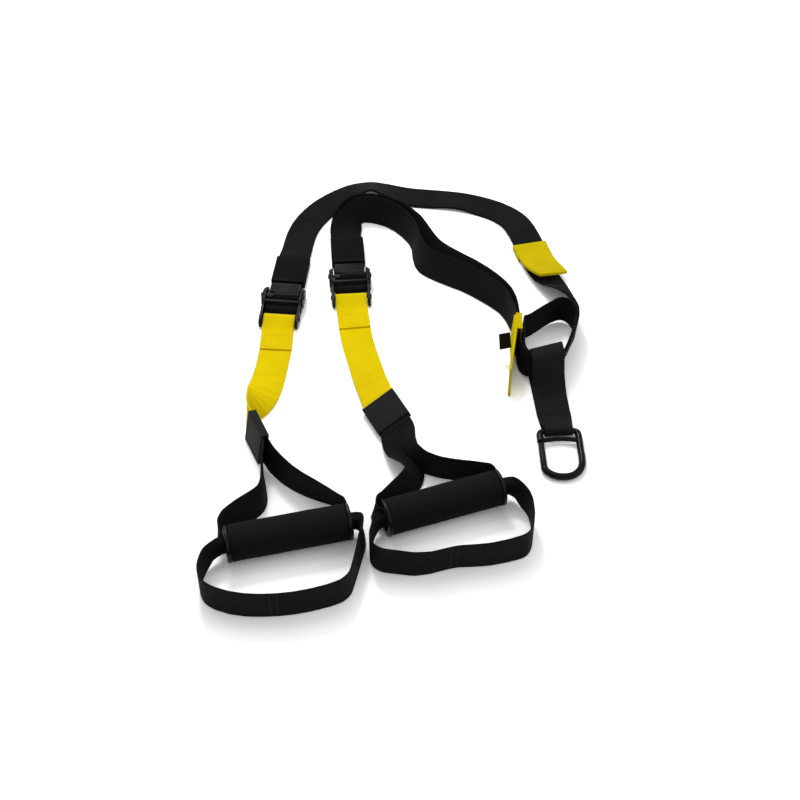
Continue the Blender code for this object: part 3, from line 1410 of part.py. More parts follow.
def build_handle_strap(handle, matrix, mats, hinge, hinge_place):
    """The triangle of webbing from the collar, through the grip and back to the collar."""
    collar = handle["collar"]
    offset = YELLOW_THICKNESS / 2 + SEAT_GAP + WEBBING_THICKNESS / 2
    curl = 1 / TRIANGLE_CURL_RADIUS
    stations = [collar_station(collar, d, -offset, "outward") for d in LEG_COLLAR_STOPS]
    stations += stations_on_floor(handle["right_leg"])
    first = math.pi + handle["right_arrival"] - handle["grip"]["heading"]
    angles = [first * (1 - share) for share in RIGHT_BEND_SHARES]
    curls = [curl * share for share in RIGHT_BEND_CURL_SHARES]
    centre = TRIANGLE_CURL_RADIUS + RIGHT_BEND_RADIUS
    stations += bend_stations(matrix, 1, centre, RIGHT_BEND_RADIUS, angles, curls, handle["right_lean"])
    for share in TRIANGLE_TUBE_STOPS:
        point = matrix @ Vector((share * GRIP_LENGTH / 2, TRIANGLE_CURL_RADIUS, 0.0))
        stations.append((point.x, point.y, GRIP_HEIGHT, 90.0, curl))
    last = math.pi + handle["grip"]["heading"] - handle["left_departure"]
    angles = [last * share for share in LEFT_BEND_SHARES]
    curls = [curl * share for share in LEFT_BEND_CURL_SHARES]
    centre = TRIANGLE_CURL_RADIUS + LEFT_BEND_RADIUS
    stations += bend_stations(matrix, -1, centre, LEFT_BEND_RADIUS, angles, curls, handle["left_lean"])
    stations += stations_on_floor(handle["left_leg"])
    for distance in LEG_COLLAR_STOPS[::-1]:
        x, y, height, roll, flat = collar_station(collar, distance, offset, "homeward")
        stations.append((x, y, height, roll + handle["left_home_turn"], flat))
    frames = thin_out(smooth_frames(stations))
    mesh = strap_mesh(frames, columns=CURLED_COLUMNS)
    add_object("handle_strap_" + handle["side"], mesh, mats["webbing"], hinge_place, hinge, SHARP_EDGE)


def build_foot_loop(handle, matrix, mats, swing, axis_place):
    curl = -1 / FOOT_CURL_RADIUS
    half = GRIP_LENGTH / 2
    stations = []
    for u in FOOT_TUBE_STOPS:
        point = matrix @ Vector((u * half, -FOOT_CURL_RADIUS, 0.0))
        stations.append((point.x, point.y, GRIP_HEIGHT, 90.0, curl))
    point = matrix @ Vector((-half - FOOT_STRAIGHT_OUT, -FOOT_CURL_RADIUS, 0.0))
    stations.append((point.x, point.y, GRIP_HEIGHT, 90.0, curl * FOOT_EXIT_CURL_SHARE))
    stations += stations_on_floor(handle["foot_route"])
    point = matrix @ Vector((half + FOOT_STRAIGHT_IN, -FOOT_CURL_RADIUS, 0.0))
    stations.append((point.x, point.y, GRIP_HEIGHT, 90.0, curl * FOOT_EXIT_CURL_SHARE))
    frames = thin_out(smooth_frames(stations, closed=True), closed=True)
    mesh = strap_mesh(frames, columns=CURLED_COLUMNS, closed=True)
    add_object("foot_loop_" + handle["side"], mesh, mats["webbing"], axis_place, swing, SHARP_EDGE)


def build_grip(handle, matrix, mats, spin, axis_place):
    side = handle["side"]
    raised = Matrix.Translation(Vector((0.0, 0.0, GRIP_HEIGHT))) @ matrix
    half = GRIP_LENGTH / 2
    outside = BORE_RADIUS + CORE_WALL
    core = [(-half, BORE_RADIUS), (half, BORE_RADIUS), (half, outside), (-half, outside)]
    tube = turned_mesh(raised, core, GRIP_SIDES)
    add_object("grip_core_" + side, tube, mats["core"], axis_place, spin, SHARP_EDGE)
    seat = outside + SEAT_GAP
    reach = half - FLANGE_THICKNESS - SEAT_GAP
    foam = [
        (-reach, seat),
        (reach, seat),
        (reach, FOAM_RADIUS - FOAM_ROUNDING),
        (reach - FOAM_ROUNDING, FOAM_RADIUS),
        (FOAM_ROUNDING - reach, FOAM_RADIUS),
        (-reach, FOAM_RADIUS - FOAM_ROUNDING),
    ]
    sleeve = turned_mesh(raised, foam, GRIP_SIDES)
    add_object("grip_foam_" + side, sleeve, mats["foam"], axis_place, spin, SHARP_EDGE)
    inner = half - FLANGE_THICKNESS
    names = ("outer", "inner") if side == "left" else ("inner", "outer")
    for end, name in zip((-1, 1), names):
        ring = [
            (end * inner, seat),
            (end * half, seat),
            (end * half, FLANGE_RADIUS - FLANGE_ROUNDING),
            (end * (half - FLANGE_ROUNDING), FLANGE_RADIUS),
            (end * (inner + FLANGE_ROUNDING), FLANGE_RADIUS),
            (end * inner, FLANGE_RADIUS - FLANGE_ROUNDING),
        ]
        mesh = turned_mesh(raised, ring, GRIP_SIDES)
        add_object(f"grip_flange_{name}_{side}", mesh, mats["core"], axis_place, spin, SHARP_EDGE)


def build_side(handle, mats):
    side = handle["side"]
    matrix = layout_matrix(handle["buckle"]["place"], handle["buckle"]["heading"])
    slide_place = matrix @ Vector((0.0, 0.0, LOOP_BAR_HEIGHT))
    slide = add_pivot("adjuster_" + side, slide_place)
    build_frame_plate(side, matrix, slide_place, slide, mats)
    loop_bar = stepped_bar(matrix, (0.0, LOOP_BAR_HEIGHT), LOOP_BAR_RADIUS)
    add_object("loop_bar_" + side, loop_bar, mats["dark_metal"], slide_place, slide, SHARP_EDGE)
    turn_bar = stepped_bar(matrix, (TURN_BAR_AT, TURN_BAR_HEIGHT), TURN_BAR_RADIUS)
    add_object("turn_bar_" + side, turn_bar, mats["dark_metal"], slide_place, slide, SHARP_EDGE)
    cam_pin = stepped_bar(matrix, CAM_PIN_AT, CAM_PIN_RADIUS)
    add_object("cam_pin_" + side, cam_pin, mats["dark_metal"], slide_place, slide, SHARP_EDGE)
    build_turn_webbing(side, matrix, mats, slide, slide_place)
    build_cam(side, matrix, mats, slide)
    build_spring(side, matrix, mats, slide, slide_place)

    hinge = add_pivot("handle_pivot_" + side, slide_place, slide)
    build_yellow_strap(handle, matrix, mats, hinge, slide_place)
    build_collar(handle, mats, hinge, slide_place)
    grip = layout_matrix(handle["grip"]["place"], handle["grip"]["heading"])
    build_handle_strap(handle, grip, mats, hinge, slide_place)
    axis_place = grip @ Vector((0.0, 0.0, GRIP_HEIGHT))
    spin = add_pivot("grip_pivot_" + side, axis_place, hinge)
    build_grip(handle, grip, mats, spin, axis_place)
    swing = add_pivot("foot_pivot_" + side, axis_place, hinge)
    build_foot_loop(handle, grip, mats, swing, axis_place)


def main():
    clear_scene()
    mats = {
        "webbing": make_material("black_webbing", (0.016, 0.016, 0.017), 0.85),
        "keeper": make_material("keeper_webbing", (0.020, 0.020, 0.021), 0.85),
        "collar": make_material("collar_fabric", (0.012, 0.012, 0.013), 0.7),
        "yellow": make_material("yellow_webbing", (0.80, 0.63, 0.006), 0.75),
        "foam": make_material("black_foam", (0.008, 0.008, 0.008), 0.95),
        "core": make_material("black_plastic", (0.010, 0.010, 0.011), 0.45),
        "dark_metal": make_material("black_coated_metal", (0.020, 0.020, 0.022), 0.35, 0.6),
        "gloss_metal": make_material("gloss_black_metal", (0.012, 0.012, 0.013), 0.18, 0.6),
        "steel": make_material("bare_steel", (0.50, 0.50, 0.50), 0.3, 1.0),
        "spring": make_material("spring_wire", (0.40, 0.40, 0.40), 0.35, 1.0),
    }
    frames = build_main_strap(mats)
    build_left_return(frames, mats)
    build_right_return(frames, mats)
    build_locking_loop(frames, mats)
    build_upper_tab(frames, mats)
    build_lower_tab(frames, mats)
    build_anchor(mats)
    for handle in (LEFT_HANDLE, RIGHT_HANDLE):
        build_keeper(handle, mats)
        build_side(handle, mats)


main()
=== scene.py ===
"""A suspension trainer laid out on a pale floor.

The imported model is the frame. The webbing, its stitching, the foam grips and
the coated metal are made over it here, and each piece rides on the body that
carries it. Lengths are in metres.
"""

import json
import math

import bmesh
import bpy
import numpy as np
from mathutils import Matrix, Vector, noise
from numpy.linalg import norm

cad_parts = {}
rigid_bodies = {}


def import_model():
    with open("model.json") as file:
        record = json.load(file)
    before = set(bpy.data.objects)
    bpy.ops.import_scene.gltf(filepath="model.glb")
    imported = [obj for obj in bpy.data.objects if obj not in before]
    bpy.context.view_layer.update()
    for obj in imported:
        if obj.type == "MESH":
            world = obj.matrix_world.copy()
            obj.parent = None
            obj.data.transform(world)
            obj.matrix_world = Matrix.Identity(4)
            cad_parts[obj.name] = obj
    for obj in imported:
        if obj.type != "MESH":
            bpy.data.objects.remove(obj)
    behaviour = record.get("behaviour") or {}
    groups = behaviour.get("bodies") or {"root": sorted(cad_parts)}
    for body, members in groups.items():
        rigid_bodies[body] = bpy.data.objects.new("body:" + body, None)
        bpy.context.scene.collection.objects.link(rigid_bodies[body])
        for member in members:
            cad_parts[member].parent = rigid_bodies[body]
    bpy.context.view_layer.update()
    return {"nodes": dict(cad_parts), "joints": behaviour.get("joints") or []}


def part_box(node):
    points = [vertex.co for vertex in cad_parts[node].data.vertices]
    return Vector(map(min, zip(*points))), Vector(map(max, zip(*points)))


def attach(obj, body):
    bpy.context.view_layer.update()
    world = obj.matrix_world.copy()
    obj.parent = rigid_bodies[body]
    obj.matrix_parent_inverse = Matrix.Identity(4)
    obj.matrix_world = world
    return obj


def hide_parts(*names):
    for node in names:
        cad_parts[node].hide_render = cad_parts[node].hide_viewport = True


for left_over in list(bpy.data.objects):
    bpy.data.objects.remove(left_over)
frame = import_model()

MM = 0.001
SIDES = ("left", "right")
UP = Vector((0.0, 0.0, 1.0))

# The webbing, and what shows of its weave.
WEBBING_WIDTH = 38 * MM
WEBBING_THICKNESS = 1.6 * MM
YELLOW_THICKNESS = 1.8 * MM
EDGE_ROUND_SHARE = 0.022
LANE_WIDTH = WEBBING_WIDTH / 16
CHEVRON_SLOPE = 0.7
WARP_SHARE = 0.22
FUZZ_SHARE = 0.5

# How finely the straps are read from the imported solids, and what counts as flat.
WELD_GAP = 0.01 * MM
TRACE_STEP = 1.6 * MM
BAR_STEP = 0.7 * MM
FIRST_LEVELS = 60
LEAST_LEVELS = 12
ROW_POINTS = 9
MIDDLE = ROW_POINTS // 2
FLAT_COSINE = 0.9995
SQUARE_COSINE = 0.6
END_AREA = (0.8, 1.2)
CORNER_REACH = 0.4
CORNER_GAP = (0.7, 1.5)
OPPOSITE = (0.35, 0.65)
END_LEVEL = 1e-4
CUT_REACH = 0.6 * WEBBING_WIDTH
CUT_LAYER = 3 * MM
SHARP_TURN = math.radians(50)

# Stitching: the thread, the length of a stitch, and the rows that go to and fro.
THREAD_RADIUS = 0.42 * MM
SEAM_THREAD_RADIUS = 0.3 * MM
SEAM_PITCH = 3.2 * MM
TACK_PITCH = 2.2 * MM
TACK_WIDTH = 2.4 * MM
TACK_TURNS = 14
SEAM_MARGIN = 0.12
FOOT_SEAM_MARGIN = 0.1
FOOT_SEAM_OFFSET = 3.5 * MM
YELLOW_SEAM = (24 * MM, 3 * MM)
HANDLE_TACKS = (30 * MM, 36 * MM)
QUILT_DEPTH = 0.6 * MM
QUILT_SPREAD = 1.7 * MM
STITCH_SIDES = 6
STITCH_FLATNESS = 0.8
STITCH_SPAN = (0.08, 0.92)
# Along a stitch: each ring's share of its length, its lift and its width.
STITCH_RINGS = [(0.0, -0.9, 0.5), (0.14, 0.05, 0.95), (0.5, 0.3, 1.0)]
STITCH_RINGS += [(0.86, 0.05, 0.95), (1.0, -0.9, 0.5)]

# The buckle, measured along the strap, across it and up from the floor.
SEAT_GAP = 0.3 * MM
LOOP_BAR = (0.0, 6 * MM, 3 * MM)
TURN_BAR = (14 * MM, 7.5 * MM, 3.5 * MM)
CAM_PIN = (29 * MM, 15.7 * MM, 2 * MM)
CHEEK_INSIDE = 40.2 * MM
CHEEK_THICKNESS = 3.4 * MM
EAR_THICKNESS = 1.8 * MM
BASE_SPAN = (19 * MM, 38 * MM)
BASE_THICKNESS = 1.8 * MM
BRIDGE_SPAN = (16.8 * MM, 21.2 * MM)
BRIDGE_HEIGHTS = (14.8 * MM, 17.8 * MM)
TENON_RADIUS = 2 * MM
RIVET_RADIUS = 3.4 * MM
RIVET_THICKNESS = 1.2 * MM
DRUM_RADIUS = 4.2 * MM
DRUM_BORE = 2.3 * MM
DRUM_POINTS = 72
TOOTH_HEIGHT = 0.5 * MM
LEVER_DROOP = math.radians(10)
LEVER_SPAN = (4.3 * MM, 25 * MM)
LEVER_HEIGHTS = (1.2 * MM, 3.4 * MM)
LEVER_HALF_WIDTH = 17.5 * MM
RIDGES = 4
RIDGE_PITCH = 3.6 * MM
RIDGE_STEP = 0.9 * MM
RIDGE_HEIGHT = 0.8 * MM

# The sleeves on the straps.
KEEPER_SPAN = (64 * MM, 112 * MM)
KEEPER_TOP = 9.9 * MM
KEEPER_SEAM_REACH = 18 * MM
COLLAR_HALF_HEIGHT = 4.5 * MM
COLLAR_SEAM_REACH = (17.5 * MM, 18.5 * MM)
COLLAR_PITCH = 2.8 * MM
COLLAR_ROUNDING = 0.6 * MM
SLEEVE_ROUNDING = 0.45 * MM
TAIL_ROUNDING = 0.3 * MM

# The grips.
GRIP_LENGTH = 130 * MM
FLANGE_THICKNESS = 4 * MM
FLANGE_RADIUS = 20 * MM
FOAM_RADIUS = 19.5 * MM
BORE_RADIUS = 13.5 * MM
CORE_WALL = 1.9 * MM
WAVES_PER_METRE = 45
WAVE_HEIGHT = 0.3 * MM
GRAINS_PER_METRE = 260
GRAIN_HEIGHT = 0.06 * MM
FOAM_SINK = 0.22 * MM

# The carabiner, measured from its slot bar.
ROD_RADIUS = 4 * MM
SLOT_BAR_RADIUS = 3.2 * MM
WEB_RADIUS = 2.6 * MM
WEB_POINTS = 9
HALF_WIDTH = 21.2 * MM
CORNER_RADIUS = 5 * MM
GATE_SPAN = (20 * MM, 50.8 * MM)
GATE_RADIUS = 3.5 * MM
TANG_RADIUS = 3.2 * MM
TANG_STEPS = 12
TANG_BACK = 8 * MM
TANG_HALF_THICKNESS = 1.2 * MM
SLOT_HALF_THICKNESS = 1.5 * MM

# The camera stands where the photograph was taken from.
CAMERA_AT = (-0.009, -1.1824, 1.1314)
CAMERA_AIM = (-0.009, -0.051, 0.0)
SENSOR_WIDTH = 36
LENS_LENGTH = 63.36


def stand(thing, name, place, aim):
    """Put a camera or a lamp in the scene, turned towards a point."""
    holder = bpy.data.objects.new(name, thing)
    bpy.context.scene.collection.objects.link(holder)
    holder.location = place
    holder.rotation_euler = (Vector(aim) - Vector(place)).to_track_quat("-Z", "Y").to_euler()
    return holder


camera = bpy.data.cameras.new("viewpoint")
camera.sensor_width = SENSOR_WIDTH
camera.lens = LENS_LENGTH
bpy.context.scene.camera = stand(camera, "viewpoint", CAMERA_AT, CAMERA_AIM)


# Colours and materials.


def colour(hex_value):
    """A linear colour from an sRGB hex value."""
    channels = []
    for start in (0, 2, 4):
        value = int(hex_value[start : start + 2], 16) / 255
        channels.append(value / 12.92 if value <= 0.04045 else ((value + 0.055) / 1.055) ** 2.4)
    return (*channels, 1.0)


def add(tree, kind, inputs=None, **settings):
    """Add a node, set its properties, and fill or link its inputs.

    A node given for an input stands for its own first output."""
    made = tree.nodes.new("ShaderNode" + kind)
    for name, value in settings.items():
        setattr(made, name, value)
    for socket, value in (inputs or {}).items():
        if isinstance(value, bpy.types.Node):
            value = value.outputs[0]
        if isinstance(value, bpy.types.NodeSocket):
            tree.links.new(value, made.inputs[socket])
        else:
            made.inputs[socket].default_value = value
    return made


def compute(tree, operation, *values):
    """One step of arithmetic."""
    return add(tree, "Math", dict(enumerate(values)), operation=operation)


def speckle(tree, scale, detail, roughness=0.5):
    """Noise that is fixed to the piece."""
    around = add(tree, "TexCoord").outputs["Object"]
    values = {"Vector": around, "Scale": scale, "Detail": detail, "Roughness": roughness}
    return add(tree, "TexNoise", values)


def mapped(tree, value, span, onto):
    """A value with one span carried over onto another."""
    return add(tree, "MapRange", {0: value, 1: span[0], 2: span[1], 3: onto[0], 4: onto[1]})


def two_tones(tree, value, low, high):
    """A ramp between two stops, each a place on the ramp and a colour."""
    ramp = add(tree, "ValToRGB", {0: value})
    for stop, (place, tone) in zip(ramp.color_ramp.elements, (low, high)):
        stop.position = place
        stop.color = tone
    return ramp


def new_material(name):
    made = bpy.data.materials.new(name)
    made.use_nodes = True
    made.node_tree.nodes.clear()
    return made, made.node_tree


def close_material(tree, shader):
    add(tree, "OutputMaterial", {"Surface": shader})


def close_with_relief(tree, base, roughness, shine, height, depth, strength):
    """Close a material as a surface with a relief of some depth."""
    bump = add(tree, "Bump", {"Height": height, "Distance": depth, "Strength": strength})
    values = {"Base Color": base, "Roughness": roughness, "Normal": bump}
    values["Specular IOR Level"] = shine
    close_material(tree, add(tree, "BsdfPrincipled", values))


def woven_webbing(name, ground, crest, rib=2.2, roughness=0.85, shine=0.12, depth=0.22):
    """Polyester webbing, shuttle-woven: weft ribs in chevrons between straight warp lines.

    To the eye it is matt. Its colour follows the relief: painted highlight along the ribs' crests
    and painted shade in the grooves between them. The real ribs are about 1.2 mm apart; they are
    drawn coarser so that they show."""
    made, tree = new_material(name)
    split = add(tree, "SeparateXYZ", {0: add(tree, "UVMap", uv_map="weave")})
    across, along = split.outputs[0], split.outputs[1]
    zigzag = compute(tree, "PINGPONG", across, LANE_WIDTH)
    slanted = compute(tree, "MULTIPLY_ADD", zigzag, CHEVRON_SLOPE, along)
    ribs = compute(tree, "SINE", compute(tree, "MULTIPLY", slanted, 2 * math.pi / (rib * MM)))
    warp = compute(tree, "COSINE", compute(tree, "MULTIPLY", across, 2 * math.pi / LANE_WIDTH))
    height = compute(tree, "MULTIPLY_ADD", ribs, 0.5, 0.5)
    height = compute(tree, "MULTIPLY_ADD", warp, WARP_SHARE, height)
    fuzz = speckle(tree, scale=900, detail=3)
    height = compute(tree, "MULTIPLY_ADD", fuzz, FUZZ_SHARE, height)
    wear = speckle(tree, scale=28, detail=4, roughness=0.6)
    tone = compute(tree, "MULTIPLY", height, wear)
    # Painted highlight on the rib crests and painted shade in the grooves, with random tone from
    # the wear noise.
    base = two_tones(tree, tone, (0.12, colour(ground)), (0.72, colour(crest)))
    close_with_relief(tree, base, roughness, shine, height, depth * MM, strength=0.9)
    return made


def spun_thread(name, ground, crest):
    """Bonded nylon thread, spun and dipped: plies twisted round it, with a faint shine."""
    made, tree = new_material(name)
    around = add(tree, "TexCoord").outputs["Object"]
    values = {"Vector": around, "Scale": 420, "Distortion": 2}
    twist = add(tree, "TexWave", values, bands_direction="DIAGONAL").outputs["Fac"]
    # The colour follows the twist: painted highlight on the ply crests and painted shade between
    # the plies.
    base = two_tones(tree, twist, (0.0, colour(ground)), (1.0, colour(crest)))
    look = {"roughness": 0.6, "shine": 0.2, "depth": 0.1 * MM, "strength": 0.6}
    close_with_relief(tree, base, height=twist, **look)
    return made


def cellular_foam(name):
    """Closed-cell NBR foam, extruded and ground: dead matt, with fine pores in a soft skin."""
    made, tree = new_material(name)
    around = add(tree, "TexCoord").outputs["Object"]
    pores = add(tree, "TexVoronoi", {"Vector": around, "Scale": 850}, feature="F1")
    skin = speckle(tree, scale=130, detail=6, roughness=0.7)
    height = compute(tree, "MULTIPLY_ADD", pores.outputs["Distance"], 0.8, skin)
    # The pores are darker: painted shade in the pore hollows, with random tone from the skin noise.
    base = two_tones(tree, height, (0.35, colour("060606")), (1.0, colour("151515")))
    look = {"roughness": 0.92, "shine": 0.1, "depth": 0.5 * MM, "strength": 0.7}
    close_with_relief(tree, base, height=height, **look)
    return made


def coated_metal(name, hex_value, roughness, grain, shine):
    """Steel under a black skin: fine orange peel in it, and places rubbed smoother by use."""
    made, tree = new_material(name)
    peel = speckle(tree, scale=1 / (grain * MM), detail=2)
    rubbed = speckle(tree, scale=160, detail=5, roughness=0.65)
    polish = mapped(tree, rubbed, (0.3, 0.75), (roughness * 0.75, min(1.0, roughness * 1.35)))
    dark = colour(hex_value)
    lighter = (*(min(1.0, 1.7 * value) for value in dark[:3]), 1.0)
    base = two_tones(tree, rubbed, (0.3, dark), (0.8, lighter))
    close_with_relief(tree, base, polish, shine, peel, depth=0.05 * MM, strength=0.5)
    return made


def moulded_plastic(name, hex_value):
    """Injection-moulded ABS: a spark-eroded grain breaks up the highlight on it."""
    made, tree = new_material(name)
    grain = speckle(tree, scale=1800, detail=3)
    polish = mapped(tree, speckle(tree, scale=60, detail=3), (0.3, 0.7), (0.26, 0.42))
    look = {"shine": 0.15, "depth": 0.04 * MM, "strength": 0.4}
    close_with_relief(tree, colour(hex_value), polish, height=grain, **look)
    return made


def drawn_wire(name):
    """Drawn spring steel, oiled black: fine draw lines, and only a dull metal gleam."""
    made, tree = new_material(name)
    polish = mapped(tree, speckle(tree, scale=2500, detail=2), (0.3, 0.7), (0.22, 0.4))
    values = {"Base Color": colour("4a4a4c"), "Metallic": 1.0, "Roughness": polish}
    close_material(tree, add(tree, "BsdfPrincipled", values))
    return made


def direct_ray(tree):
    """1 for a ray that shows the backdrop: straight, mirrored or through glass."""
    path = add(tree, "LightPath")
    straight = path.outputs["Is Camera Ray"]
    for other in ("Is Glossy Ray", "Is Transmission Ray"):
        straight = compute(tree, "MAXIMUM", straight, path.outputs[other])
    return straight


def white_paper(name):
    """Seamless white paper, matt: it shows pure white and keeps only the deeper shadows."""
    made, tree = new_material(name)
    paper = add(tree, "BsdfDiffuse", {"Color": colour("ececec")})
    lift = add(tree, "BsdfDiffuse", {"Color": colour("c8c8c8")})
    glow = add(tree, "Emission", {"Color": colour("ffffff"), "Strength": 0.06})
    bright = add(tree, "AddShader", {0: paper, 1: lift})
    bright = add(tree, "AddShader", {0: bright, 1: glow})
    close_material(tree, add(tree, "MixShader", {0: direct_ray(tree), 1: paper, 2: bright}))
    return made


# Dyed polyester webbing, matt black: the long straps, the triangles and the foot loops.
BLACK_WEBBING = woven_webbing("black polyester webbing", "080809", "1a1a1b", shine=0.08)
# The same yarn in a heavier weave, so its ribs stand out more on the anchor strap, in relief and in
# their painted highlight and shade.
ANCHOR_WEBBING = woven_webbing("anchor webbing", "090909", "1e1e1f", rib=3.0, depth=0.45)
# Yellow-dyed polyester: strong and flat in colour, with the ribs barely seen.
YELLOW_WEBBING = woven_webbing("yellow webbing", "d6bc00", "efd500", shine=0.06, depth=0.12)
# The tabs' webbing is a little greener and duller than the straps'.
TAB_WEBBING = woven_webbing("yellow tab webbing", "b8a400", "d9c200", shine=0.06, depth=0.12)
# A closer weave for the keepers, which look smoother than the straps in them.
KEEPER_WEBBING = woven_webbing("keeper webbing", "060607", "151516", rib=1.8, shine=0.06)
# Tightly woven nylon cloth: almost no ribs, and a broader sheen than the webbing.
COLLAR_FABRIC = woven_webbing(
    "collar nylon", "0b0b0c", "1b1b1c", rib=1.1, roughness=0.75, shine=0.16, depth=0.1
)
# Thread close to the colour of the webbing that it holds, so the seams stay quiet.
BLACK_THREAD = spun_thread("black bonded thread", "060607", "18181a")
YELLOW_THREAD = spun_thread("yellow bonded thread", "bfa600", "dcc200")
# Foam that swallows the light, with pores in painted shade that only show close by.
FOAM = cellular_foam("black NBR foam")
# Powder-coated steel: satin black with a broad, dull gleam.
COATED_STEEL = coated_metal("black powder coat", "0a0a0b", 0.34, 0.35, 0.1)
# Stoved enamel on steel: deep black with small, hard highlights.
GLOSS_STEEL = coated_metal("gloss black enamel", "040404", 0.13, 0.9, 0.1)
# Moulded ABS for the grip's tube and flanges: black with a soft highlight.
BLACK_ABS = moulded_plastic("black ABS", "070708")
# Spring wire and pins, oiled black.
SPRING_STEEL = drawn_wire("spring steel")


# Reading the straps: a value is spread along each strap's skin the way heat
# would fall from one end to the other, and every level of that value gives a
# row of points across the strap with the strap's normal at each of them.


def unit(vector):
    return vector / max(norm(vector), 1e-12)


def walk(line, closed=False):
    """How far along a line each of its points lies."""
    if closed:
        line = np.concatenate([line, line[:1]])
    return np.concatenate([[0.0], np.cumsum(norm(np.diff(line, axis=0), axis=1))])


def points_at(distances, walked, line):
    """The points at some distances along a line."""
    return np.stack([np.interp(distances, walked, line[:, axis]) for axis in range(3)], axis=-1)


def welded(node):
    """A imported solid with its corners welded."""
    shape = bmesh.new()
    shape.from_mesh(frame["nodes"][node].data)
    bmesh.ops.remove_doubles(shape, verts=shape.verts, dist=WELD_GAP)
    return shape


def merged_solid(node):
    """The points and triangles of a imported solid."""
    shape = welded(node)
    bmesh.ops.triangulate(shape, faces=shape.faces)
    shape.verts.ensure_lookup_table()
    points = np.array([vertex.co for vertex in shape.verts])
    triangles = np.array([[vertex.index for vertex in face.verts] for face in shape.faces])
    shape.free()
    return points, triangles


def end_faces(points, triangles, thickness):
    """The flat ends: as big as the strap is wide and thick, and square to all round them."""
    first_edges, second_edges = (points[triangles[:, k]] - points[triangles[:, 0]] for k in (1, 2))
    normals = np.cross(first_edges, second_edges)
    areas = norm(normals, axis=1) / 2
    normals /= np.maximum(2 * areas[:, None], 1e-15)
    found, seen = [], set()
    for first in range(len(triangles)):
        if first in seen:
            continue
        chosen, edge_points = {first}, set(int(i) for i in triangles[first])
        alike = [int(i) for i in np.nonzero(normals @ normals[first] > FLAT_COSINE)[0]]
        grown = True
        while grown:
            grown = False
            for i in alike:
                corners = set(int(k) for k in triangles[i])
                if i not in chosen and len(corners & edge_points) >= 2:
                    chosen.add(i)
                    edge_points |= corners
                    grown = True
        seen |= chosen
        area = areas[sorted(chosen)].sum() / (WEBBING_WIDTH * thickness)
        if not END_AREA[0] < area < END_AREA[1]:
            continue
        shared = np.isin(triangles, sorted(edge_points)).sum(axis=1) >= 2
        shared[sorted(chosen)] = False
        if np.abs(normals[shared] @ normals[first]).max() < SQUARE_COSINE:
            found.append(sorted(edge_points))
    return found


def spread_along(points, triangles, low, high, jumps):
    """A value for each point that grows evenly along the skin, by cotangent weights."""
    count = len(points)
    matrix = np.zeros((count, count))
    right = np.zeros(count)
    for corners in triangles:
        for turn in range(3):
            i, j, k = (int(corners[(turn + step) % 3]) for step in range(3))
            one, two = points[i] - points[k], points[j] - points[k]
            weight = 0.5 * (one @ two) / max(norm(np.cross(one, two)), 1e-14)
            matrix[i, i] += weight
            matrix[j, j] += weight
            matrix[i, j] -= weight
            matrix[j, i] -= weight
            jump = jumps.get((i, j), 0.0)
            right[i] += weight * jump
            right[j] -= weight * jump
    for group, value in ((low, 0.0), (high, 1.0)):
        for i in group:
            matrix[i] = 0.0
            matrix[i, i] = 1.0
            right[i] = value
    return np.linalg.solve(matrix, right)


def level_ring(points, triangles, values, level):
    """The closed outline where the value along the skin is at one level."""
    links, places = {}, {}
    low, high = values.min(axis=1), values.max(axis=1)
    for shift in (-1, 0, 1):
        target = level + shift
        for t in np.nonzero((low < target) & (high >= target))[0]:
            ends = []
            for i in range(3):
                j = (i + 1) % 3
                if (values[t, i] < target) != (values[t, j] < target):
                    a, b = int(triangles[t, i]), int(triangles[t, j])
                    share = (target - values[t, i]) / (values[t, j] - values[t, i])
                    edge = (min(a, b), max(a, b))
                    places[edge] = points[a] + (points[b] - points[a]) * share
                    ends.append(edge)
            links.setdefault(ends[0], []).append(ends[1])
            links.setdefault(ends[1], []).append(ends[0])
    longest, seen = [], set()
    for first in links:
        line = [] if first in seen else [first]
        seen.add(first)
        while line:
            onward = [edge for edge in links[line[-1]] if edge not in seen]
            if not onward:
                break
            line.append(onward[0])
            seen.add(onward[0])
        if len(line) > len(longest):
            longest = line
    return np.array([places[edge] for edge in longest])


def cut_jumps(points, triangles, centre, along, layer):
    """The edges that cross a closed strap at one place, with the way they cross.

    The cut keeps to the layer that is square to a given direction there."""
    side = (points - centre) @ along
    jumps = {}
    for corners in triangles:
        for i in range(3):
            a, b = int(corners[i]), int(corners[(i + 1) % 3])
            if (side[a] > 0) != (side[b] > 0):
                share = side[a] / (side[a] - side[b])
                crossing = points[a] + (points[b] - points[a]) * share - centre
                if norm(crossing) < CUT_REACH and abs(crossing @ layer) < CUT_LAYER:
                    way = 1.0 if side[b] > 0 else -1.0
                    jumps[(a, b)] = way
                    jumps[(b, a)] = -way
    return jumps


